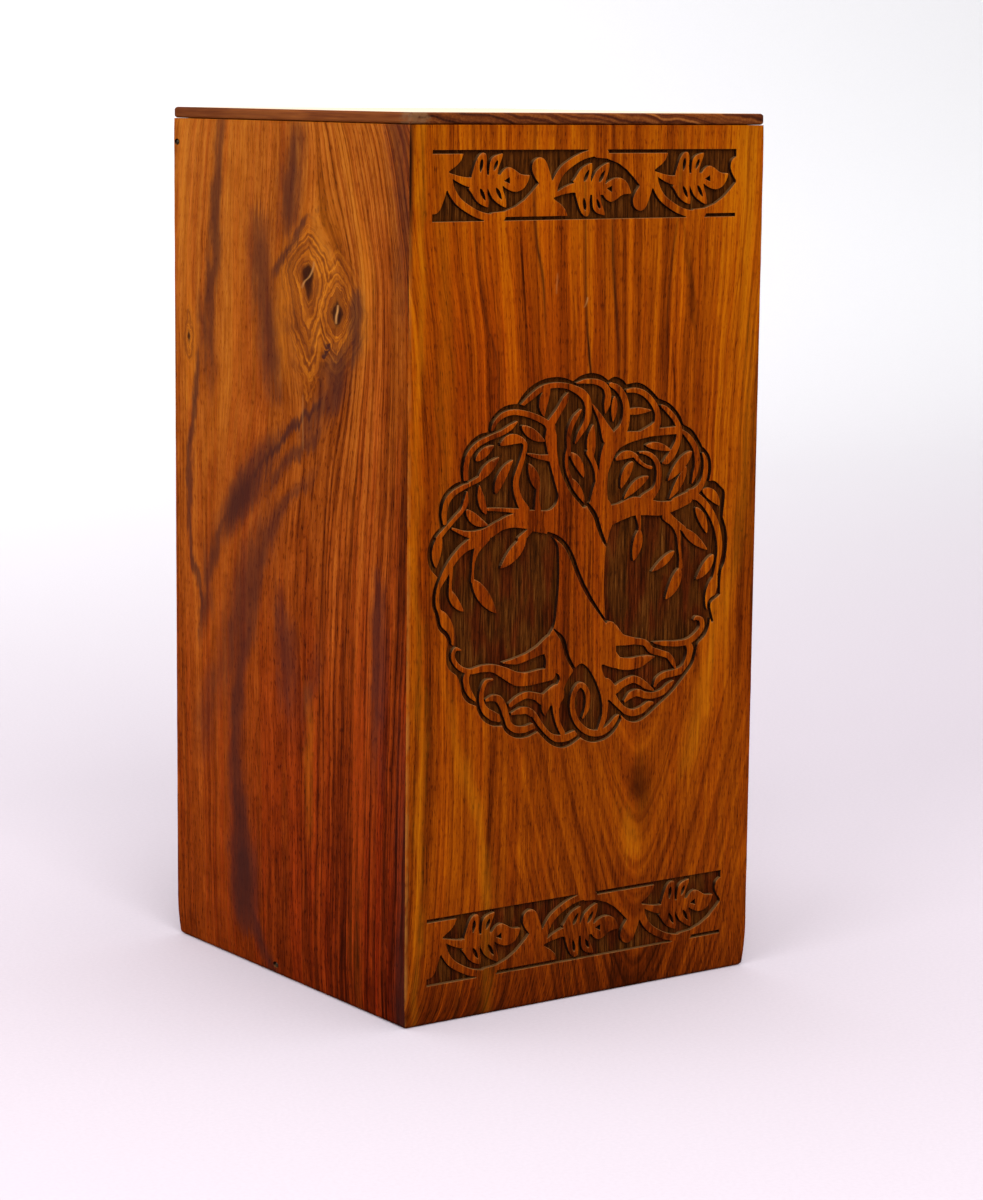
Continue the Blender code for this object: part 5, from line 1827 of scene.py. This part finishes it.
@dataclass
class LidPlate:
    """The flat lid, flush with the boards, its edges eased and its corners a little worn."""

    round: float = 0.9
    shares: tuple[float, ...] = (0.0, 0.12, 0.34, 0.62, 1.0)
    margin: float = 0.8
    rows: int = 30
    wear: float = 0.08
    nicks: float = 0.35
    nick_from: float = 0.35
    finish: LidWood = LidWood()

    def lines(self, half: float, count: int) -> list[float]:
        """Places the mesh's lines along one side: close together in the eased edges.

        Args:
            half: Half the side's length.
            count: How many rows lie between the eased edges, or 0 for one.

        Returns:
            The lines' places from the middle.
        """
        edge = [half - self.round * share for share in self.shares]
        inside = half - self.round - self.margin
        plain = [inside - k * (2 * inside) / count for k in range(count + 1)] if count else []
        return [-v for v in edge] + plain[::-1] + edge[::-1]

    def eased(self, p: Vector, half: Vector) -> Vector:
        """Rounds a point of the plain plate and wears it.

        Args:
            p: The point on the plain plate.
            half: Half the plate's sizes.

        Returns:
            The point on the real one.
        """
        core = Vector([min(max(v, self.round - h), h - self.round) for v, h in zip(p, half)])
        out = p - core
        if out.length <= 1e-9:
            return core
        corner = sum(abs(v) > 1e-6 for v in out) > 1
        out = out.normalized() * self.round
        if corner:
            out *= 1 - self.wear * (1 + 0.3 * noise.noise(Vector((p.x / 7.0, p.y / 7.0, p.z))))
        if abs(p.x) > half.x - 0.5 or abs(p.y) > half.y - 0.5:
            nick = noise.noise(Vector((p.x / 1.8, p.y / 1.8, p.z / 1.5))) - self.nick_from
            out *= 1 - self.nicks * max(0.0, nick)
        return core + out

    def build(self) -> bpy.types.Object:
        """Builds the lid's mesh and dresses it.

        Returns:
            The lid.
        """
        half = Vector((WIDTH, DEPTH, LID)) / 2
        xs, ys, zs = (self.lines(half[k], rows) for k, rows in enumerate((self.rows, self.rows, 0)))
        mesh = bmesh.new()
        spots: dict[tuple[float, float, float], bmesh.types.BMVert] = {}

        def corner(x: float, y: float, z: float) -> bmesh.types.BMVert:
            """Finds or makes one corner of the mesh.

            Args:
                x: The point's x on the plain plate.
                y: Its y.
                z: Its z.

            Returns:
                The corner.
            """
            key = (round(x, 4), round(y, 4), round(z, 4))
            if key not in spots:
                p = self.eased(Vector(key), half)
                spots[key] = mesh.verts.new((p + Vector((0, 0, HEIGHT - half.z))) * MM)
            return spots[key]

        sides = (
            (xs, ys, half.z, (0, 1, 2)),
            (ys, zs, half.x, (2, 0, 1)),
            (zs, xs, half.y, (1, 2, 0)),
        )
        for us, vs, w, order in sides:
            for u0, u1 in zip(us, us[1:]):
                for v0, v1 in zip(vs, vs[1:]):
                    for sign in (1, -1):
                        ring = [(u0, v0), (u1, v0), (u1, v1), (u0, v1)][::sign]
                        found = []
                        for u, v in ring:
                            p = (u, v, w * sign)
                            found.append(corner(p[order[0]], p[order[1]], p[order[2]]))
                        mesh.faces.new(found)
        made = bpy.data.meshes.new("lid_dressed")
        mesh.to_mesh(made)
        mesh.free()
        made.materials.append(dressed(self.finish))
        return finished(made, "lid")


@dataclass
class Brad:
    """A fine wire brad, driven in from a side board, its head domed and hammered."""

    name: str
    facing: Facing
    across: float
    height: float
    sunk: float = 0.0
    radius: float = 0.6
    length: float = 12.0
    turns: int = 20
    dents: float = 0.05
    finish: DarkSteel = DarkSteel()

    def outline(self) -> list[Point]:
        """Gives half the brad's outline, from the head's middle to the point.

        Returns:
            Each point's radius and how far in it lies.
        """
        r, shank = self.radius, 0.8 * self.radius
        dome = [(0.0, 0.05), (0.3 * r, 0.06), (0.62 * r, 0.1), (0.88 * r, 0.18), (r, 0.34), (r, 0.6)]
        point = [(shank, self.length - 1.0), (0.4 * r, self.length - 0.3), (0.0, self.length)]
        return dome + [(shank, 0.75)] + point

    def build(self) -> bpy.types.Object:
        """Builds the brad's mesh and dresses it.

        Returns:
            The brad.
        """
        line, turns = self.outline(), self.turns
        spots, faces = [], []
        for radius, inward in line[1:-1]:
            for k in range(turns):
                a = k * math.tau / turns
                x, z = self.across + radius * math.cos(a), self.height + radius * math.sin(a)
                dent = self.dents * noise.noise(Vector((x * 2.5, z * 2.5, 1.0)))
                pressed = abs(dent) if inward < 0.3 else 0.0
                spots.append(self.facing.world(x, z, self.sunk + inward + pressed))
        for ring in range(len(line) - 3):
            for k in range(turns):
                m = (k + 1) % turns
                a, b = ring * turns, (ring + 1) * turns
                faces.append((a + m, a + k, b + k, b + m))
        ends = ((0, line[0][1], 1), (len(spots) - turns, line[-1][1], -1))
        for base, inward, flip in ends:
            middle = len(spots)
            spots.append(self.facing.world(self.across, self.height, self.sunk + inward))
            faces += [(middle, base + k, base + (k + 1) % turns)[::flip] for k in range(turns)]
        mesh = bpy.data.meshes.new(self.name + "_dressed")
        mesh.from_pydata(spots, [], faces)
        mesh.materials.append(dressed(self.finish))
        return finished(mesh, self.name)


@dataclass
class Studio:
    """A plain pale sweep under soft lights, and the camera where the photograph was taken:
    its focal length and the photograph's height in pixels, and its turns in degrees and
    shift in millimetres from the near corner's foot, as the fit to the photograph gave them.
    Each light has a name, a place, a size and a power."""

    focal: float = 3214.157
    photo_height: float = 1200.0
    sensor: float = 36.0
    turn: tuple[float, float, float] = (-9.10220, -35.59111, -0.60593)
    shift: tuple[float, float, float] = (-24.49089, -120.50528, 898.50489)
    lights: tuple[tuple[str, tuple[float, float, float], float, float], ...] = (
        ("key", (-0.7, -1.6, 1.5), 1.3, 36.0),
        ("top", (0.1, -0.1, 2.0), 1.2, 20.0),
        ("side", (-1.7, -0.7, 1.0), 1.0, 17.0),
        ("sheen", (-1.5, 1.7, 1.5), 1.6, 9.0),
    )
    aim: tuple[float, float, float] = (0.0, 0.0, 0.12)
    room: tuple[float, float, float, float] = (1.0, 0.99, 1.0, 1.0)
    room_glow: float = 0.6
    bend: float = 0.9
    across: int = 17

    def camera(self) -> None:
        """Places the camera."""
        rx, ry, rz = (math.radians(v) for v in self.turn)
        turned = Matrix.Rotation(rz, 3, "Z") @ Matrix.Rotation(rx, 3, "X")
        turned = turned @ Matrix.Rotation(ry, 3, "Y")
        eye = -(turned.transposed() @ Vector(self.shift))
        right, up, ahead = (Vector((row[0], row[2], row[1])) for row in turned)
        lens = bpy.data.cameras.new("viewpoint")
        lens.sensor_width, lens.lens = self.sensor, self.focal / self.photo_height * self.sensor
        lens.clip_start, lens.clip_end = 0.05, 20.0
        made = bpy.data.objects.new("viewpoint", lens)
        place = Matrix((right, up, -ahead)).transposed().to_4x4()
        place.translation = Vector((eye.x - WIDTH / 2, eye.z - DEPTH / 2, eye.y)) * MM
        made.matrix_world = place
        bpy.context.scene.collection.objects.link(made)
        bpy.context.scene.camera = made

    def sweep(self) -> None:
        """Builds the pale floor that curves up into a backdrop."""
        r, n = self.bend, self.across
        line = [(-3.0, 0.0), (-0.6, 0.0), (0.0, 0.0), (r, 0.0)]
        for a in np.linspace(0.1, math.pi / 2, 16):
            line.append((r + r * math.sin(a), r - r * math.cos(a)))
        line.append((2 * r, 3.5))
        spots = [(x, y, z) for y, z in line for x in np.linspace(-4, 4, n)]
        starts = [j * n + i for j in range(len(line) - 1) for i in range(n - 1)]
        faces = [(k, k + 1, k + n + 1, k + n) for k in starts]
        mesh = bpy.data.meshes.new("pale_sweep")
        mesh.from_pydata(spots, [], faces)
        mesh.polygons.foreach_set("use_smooth", [True] * len(faces))
        mesh.materials.append(dressed(PaleSweep()))
        made = bpy.data.objects.new("pale_sweep", mesh)
        bpy.context.scene.collection.objects.link(made)
        made.visible_glossy = False

    def light(self) -> None:
        """Hangs the soft lights and sets the room's glow."""
        for name, spot, size, power in self.lights:
            lamp = bpy.data.lights.new(name, "AREA")
            lamp.shape, lamp.size, lamp.energy = "SQUARE", size, power
            made = bpy.data.objects.new(name, lamp)
            made.location = spot
            made.rotation_mode = "QUATERNION"
            made.rotation_quaternion = (Vector(self.aim) - Vector(spot)).to_track_quat("-Z", "Y")
            bpy.context.scene.collection.objects.link(made)
        world = bpy.data.worlds.new("room")
        world.use_nodes = True
        glow = world.node_tree.nodes["Background"]
        glow.inputs["Color"].default_value = self.room
        glow.inputs["Strength"].default_value = self.room_glow
        world.cycles_visibility.glossy = False
        bpy.context.scene.world = world
        bpy.context.scene.view_settings.view_transform = "Standard"


FRONT_WOOD = Rosewood(
    name="front_rosewood", facing=Facing.FRONT, seed=11,
    tones=((45, 13, 0), (82, 28, 0), (114, 47, 0), (139, 65, 0), (162, 89, 1)),
    red=(122, 38, 0), heart=(34, 10, 1), gold=(160, 98, 5),
    ruddy=((0, 0.4), (60, 0), (110, 0.2), (170, 0.35), (210, 0.2), (254, 0)),
    side_ruddy=((-62, 0.2), (-35, 1), (0, 0.6), (30, 0.3), (62, 0)),
    narrow=((0, 0.94), (90, 0.84), (180, 0.88), (225, 0.96), (254, 0.975)), centre=14,
    light=((0, -0.28), (12, -0.2), (60, -0.02), (120, -0.05), (180, 0.05), (215, 0.16), (240, 0.18),
        (254, 0.02)),
    side_light=((-62, 0.04), (-50, 0.05), (-30, 0.02), (0, 0), (30, 0), (48, 0.08), (62, 0.08)),
    arches=Arches(across=20, round=9, lean=0.28, fade=(74, 98)),
    hearts=(
        Streak(4, ((40, 24, 0), (52, 22, 0.35), (60, 21, 0.7), (68, 20, 0.4), (80, 19, 0))),
        Streak(1.4, ((185, 40, 0), (200, 36, 0.5), (222, 33, 0.45), (246, 32, 0.3), (254, 32, 0.2))),
        Streak(1.2, ((0, -44, 0.5), (6, -44, 0.6), (12, -43, 0))),
        Streak(2.4, ((0, 10, 0.4), (5, 12, 0.5), (11, 12, 0))),
    ),
    lines=(
        Streak(1.2, ((206, -62.2, 0), (222, -61.9, 0.6), (240, -61.6, 1), (254, -61.2, 1))),
        Streak(0.5, ((160, 0.5, 0), (176, 0.5, 0.6), (186, -0.5, 0.8), (202, -2, 0.7),
            (222, -2.6, 0.5), (240, -2.8, 0.3), (254, -3, 0.2))),
        Streak(0.6, ((180, -12, 0), (190, -15, 0.3), (208, -17, 0.7), (224, -20, 0.6),
            (240, -20.5, 0.3), (254, -20, 0.2))),
        Streak(0.7, ((168, 10, 0), (182, 10, 0.3), (196, 9, 0.7), (212, 7.5, 0.8), (226, 7, 0.5),
            (245, 7, 0.3))),
        Streak(0.5, ((170, 27, 0), (184, 27, 0.4), (205, 28, 0.5), (226, 31, 0.3))),
        Streak(0.5, ((168, -32, 0), (182, -32, 0.4), (200, -37, 0.4), (226, -41, 0.2))),
    ),
    golds=(
        Streak(1.6, ((0, -58, 0.3), (60, -57, 0.5), (150, -59, 0.4), (200, -58, 0.6), (254, -57, 0.7))),
        Streak(2.2, ((30, -34, 0.3), (50, -36, 0.6), (75, -43, 0.4), (100, -50, 0.2))),
        Streak(3, ((40, 18, 0), (47, 17, 0.6), (53, 15, 0.3), (58, 12, 0))),
        Streak(3, ((60, 36, 0), (75, 41, 0.5), (100, 47, 0.5), (130, 55, 0.4), (160, 58, 0.4),
            (200, 57, 0.5), (254, 57, 0.5))),
    ),
    pales=(
        Streak(0.3, ((200, -2.6, 0), (201, -2, 0.4), (202, -1.6, 0.4), (203, -1.4, 0))),
        Streak(0.3, ((204, -12.2, 0), (206, -12.2, 0.25), (208, -12, 0.25), (210, -12, 0))),
    ),
    broad=0.9, stripe=1, blush=0.2, painted_highlights=True,
    worn=((0, 0.5), (60, 0.6), (150, 0.35), (210, 0.3), (235, 0), (254, 0)),
)

LEFT_WOOD = Rosewood(
    name="left_rosewood", facing=Facing.LEFT, seed=23,
    tones=((46, 15, 3), (84, 31, 1), (116, 51, 2), (143, 72, 11), (168, 97, 24)),
    red=(122, 32, 0), heart=(54, 26, 22), gold=(176, 100, 8),
    bend=((0, 13), (60, 14), (105, 14), (125, 12.5), (138, 10), (150, 6.5), (165, 2.5),
        (178, 0), (254, 0)),
    bent=((-63, 0), (-47, 0), (-30, 0.95), (-16, 1), (-2, 0.78), (22, 0.22), (40, 0), (63, 0)),
    light=((0, -0.19), (50, -0.11), (110, 0), (190, 0.1), (254, 0.2)),
    side_light=((-63, 0.13), (-40, 0.13), (-10, 0.07), (20, 0.1), (45, 0.12), (54, 0.04), (63, -0.06)),
    stripes=((-63, 0.7), (-45, 0.5), (-20, 0.35), (0, 0.45), (18, 0.7), (63, 0.75)),
    veins=((-63, 0.16), (-40, 0.04), (0, 0.08), (14, 0.2), (24, 0.28), (63, 0.28)),
    narrow=((0, 1), (190, 1), (225, 0.95), (254, 0.84)), centre=-10,
    broad=0.8, stripe=1, blush=0.2, depth=0.68, mottled=0.45,
    eddies=(Eddy(19, 200, 20, 36),),
    knots=(Knot(27.5, 198, 1.25, 1.2, 14.5, 4.4), Knot(12.5, 208.5, 0.9, 2.3, 17, 4.2),
        Knot(-54, 186, 2.6, 2.6, 3.4, 1.3)),
    ruddy=((0, 0.9), (60, 0.7), (130, 0.3), (200, 0), (254, 0)),
    side_ruddy=((-63, 0.4), (0, 0.7), (63, 1)),
    hearts=(
        Streak(3, ((94, -47, 0), (100, -47, 0.4), (112, -44, 0.55), (122, -40, 0.6),
            (132, -36, 0.65), (139, -25, 0.9), (147, -18, 0.85), (157, -6, 0.85), (166, 8, 0.85),
            (174, 20, 0.6), (184, 32, 0))),
        Streak(9, ((122, -40, 0), (132, -32, 0.6), (140, -25, 0.95), (150, -16, 0.7),
            (160, -6, 0.4), (166, 4, 0))),
        Streak(5.5, ((140, -14, 0), (148, -6, 0.5), (154, 2, 0.55), (160, 12, 0.55), (168, 22, 0))),
        Streak(5, ((0, -8, 0.3), (12, -16, 0.65), (20, -22, 0.75), (45, -25, 0.7), (62, -28, 0.62),
            (80, -27, 0.6), (95, -23, 0.6), (111, -18, 0.55), (127, -12, 0.55), (140, -3, 0.5),
            (148, 10, 0.4), (160, 22, 0))),
        Streak(8, ((8, -20, 0), (20, -23, 0.8), (30, -24, 0.9), (45, -26, 0.55), (64, -28, 0.4),
            (84, -28, 0.4), (104, -22, 0))),
        Streak(11, ((76, -34, 0), (92, -30, 0.45), (108, -24, 0.55), (124, -18, 0.5),
            (136, -10, 0.35), (146, -4, 0))),
        Streak(9, ((54, -46, 0), (68, -46, 0.35), (80, -42, 0.4), (92, -34, 0.35),
            (104, -26, 0))),
        Streak(8, ((168, -5, 0), (178, -7, 0.5), (196, -11, 0.6), (215, -14, 0.55),
            (228, -14, 0))),
        Streak(3.6, ((160, -42, 0), (190, -42, 0.55), (215, -39, 0.65), (235, -37, 0.6),
            (254, -34, 0.4))),
        Streak(5, ((172, -44, 0), (184, -45, 0.45), (192, -45, 0.45), (202, -46, 0))),
        Streak(1.8, ((93, -48, 0), (104, -48, 0.6), (112, -50, 0.65), (134, -54, 0.6),
            (165, -51, 0.65), (184, -50, 0.1))),
        Streak(4, ((102, -42, 0), (110, -44, 0.5), (120, -45, 0.4), (128, -46, 0))),
        Streak(7, ((218, 0, 0), (228, 3, 0.65), (238, 4, 0.6), (254, 6, 0.2))),
        Streak(2.5, ((206, -6, 0), (211, -2, 0.7), (217, 5, 0.5), (222, 9, 0.6), (226, 15, 0))),
        Streak(7, ((60, 2, 0), (84, 2, 0.35), (102, 0, 0.5), (113, -2, 0.35), (122, -3, 0))),
        Streak(5, ((60, 10, 0), (82, 10, 0.3), (92, 16, 0.4), (102, 18, 0.3), (116, 21, 0))),
        Streak(4.5, ((56, 50, 0), (84, 49, 0.45), (106, 49, 0.6), (130, 50, 0))),
        Streak(9, ((156, 10, 0), (166, 14, 0.45), (174, 24, 0.55), (184, 28, 0.5), (192, 32, 0))),
        Streak(3.5, ((182, 36, 0), (190, 37, 0.6), (200, 38, 0.65), (206, 37, 0))),
        Streak(1.2, ((186, 21, 0), (187, 22, 1.2), (188, 22, 0))),
        Streak(6, ((0, 62, 0.45), (60, 62, 0.3), (120, 62, 0.1), (160, 62, 0))),
        Streak(9, ((190, 63, 0), (206, 62, 0.3), (235, 60, 0.4), (254, 57, 0.45))),
    ),
    golds=(
        Streak(4.5, ((174, 2, 0), (186, 0, 0.6), (204, 1, 0.8), (216, 5, 0.5), (224, 12, 0))),
        Streak(11, ((178, 16, 0), (190, 20, 0.3), (204, 20, 0.4), (222, 18, 0.5), (235, 20, 0.2),
            (254, 16, 0.1))),
        Streak(3, ((184, 38, 0.1), (205, 42, 0.8), (220, 40, 0.7), (236, 33, 0.4), (254, 28, 0.2))),
        Streak(2.6, ((166, -54, 0), (176, -54, 0.8), (194, -54, 0.8), (206, -55, 0.4),
            (230, -57, 0.4), (254, -57, 0.4))),
        Streak(2, ((40, 14, 0), (80, 13, 0.5), (92, 13, 0))),
        Streak(6, ((146, -50, 0), (170, -34, 0.3), (200, -28, 0.3), (236, -26, 0.3),
            (254, -24, 0.2))),
    ),
    pales=(
        Streak(0.35, ((158, 9.8, 0), (161, 9.8, 0.3), (171, 9.6, 0.3), (174, 9.6, 0))),
        Streak(0.5, ((195, 27, 0), (196.5, 27, 1), (199, 27.8, 1), (200.5, 28, 0))),
        Streak(0.5, ((204, 9, 0), (206, 10.5, 0.7), (207.5, 13, 0.7), (210, 15, 0.6),
            (212, 15.5, 0))),
    ),
)

RIGHT_WOOD = Rosewood(
    name="right_rosewood", facing=Facing.RIGHT, seed=37,
    tones=LEFT_WOOD.tones, red=LEFT_WOOD.red, heart=LEFT_WOOD.heart, gold=LEFT_WOOD.gold,
    bend=((0, 3), (90, -2), (180, 2), (254, -1)),
    arches=Arches(across=-12, round=10, lean=0.22, fade=(70, 120)),
    eddies=(Eddy(-30, 172, 7, 20),),
    knots=(Knot(-30, 172, 1.7, 1.9, 5, 1.4),),
    hearts=(Streak(3, ((0, 20, 0.3), (80, 24, 0.6), (150, 18, 0.4), (254, 26, 0.5))),
            Streak(2, ((60, -44, 0), (120, -46, 0.5), (200, -42, 0.4), (254, -45, 0.2)))),
    golds=(Streak(5, ((0, 46, 0.4), (120, 48, 0.5), (254, 44, 0.3))),),
)

BACK_WOOD = Rosewood(
    name="back_rosewood", facing=Facing.BACK, seed=53,
    tones=FRONT_WOOD.tones, red=FRONT_WOOD.red, heart=FRONT_WOOD.heart, gold=FRONT_WOOD.gold,
    bend=((0, -3), (100, 2), (170, -1), (254, 3)),
    arches=Arches(across=8, round=12, lean=0.25, fade=(120, 190)),
    hearts=(Streak(3.5, ((0, -30, 0.4), (90, -34, 0.6), (180, -28, 0.5), (254, -31, 0.3))),
            Streak(1.6, ((40, 40, 0), (120, 43, 0.6), (254, 38, 0.5)))),
    golds=(Streak(4, ((0, 20, 0), (60, 22, 0.4), (150, 30, 0.5), (254, 26, 0.3))),),
)


def brads() -> tuple[dict[Facing, tuple[Point, ...]], list[Brad]]:
    """Sets out the brads: one near the back edge's top and one at the floor board's
    height on each side board.

    Returns:
        The brads' holes in each side board, and the brads.
    """
    places = {
        "brad_mitre": (DEPTH / 2 - 2.1, HEIGHT - 10.3, 0.0),
        "brad_floor": (DEPTH / 2 - 57.0, 3.0, FOOT_TAPER * 0.75),
    }
    holes, found = {}, []
    for facing, sign in ((Facing.LEFT, -1), (Facing.RIGHT, 1)):
        holes[facing] = tuple((sign * across, height) for across, height, _ in places.values())
    for name, (across, height, sunk) in places.items():
        found.append(Brad(name + "_left", Facing.LEFT, -across, height, sunk))
        found.append(Brad(name + "_right", Facing.RIGHT, across, height, sunk))
    return holes, found


def main() -> None:
    """Builds the box's pieces in order and lays them in the studio."""
    logging.basicConfig(level=logging.INFO, format="%(name)s: %(message)s")
    carving = Carving()
    carving.draw()
    holes, driven = brads()
    builders = [
        Board("front_board", FRONT_WOOD, carving=carving),
        Board("left_board", LEFT_WOOD, holes=holes[Facing.LEFT]),
        Board("right_board", RIGHT_WOOD, holes=holes[Facing.RIGHT]),
        Board("back_board", BACK_WOOD),
        LidPlate(),
        *driven,
    ]
    for builder in builders:
        made = builder.build()
        log.info("%s: %d faces", made.name, len(made.data.polygons))
    floor = next(o for o in bpy.data.objects if o.name == "floor_board")
    for slot in floor.material_slots:
        slot.material = dressed(PlainWood())
    log.info("floor_board: waxed")
    studio = Studio()
    studio.sweep()
    studio.light()
    studio.camera()


if __name__ == "__main__":
    main()
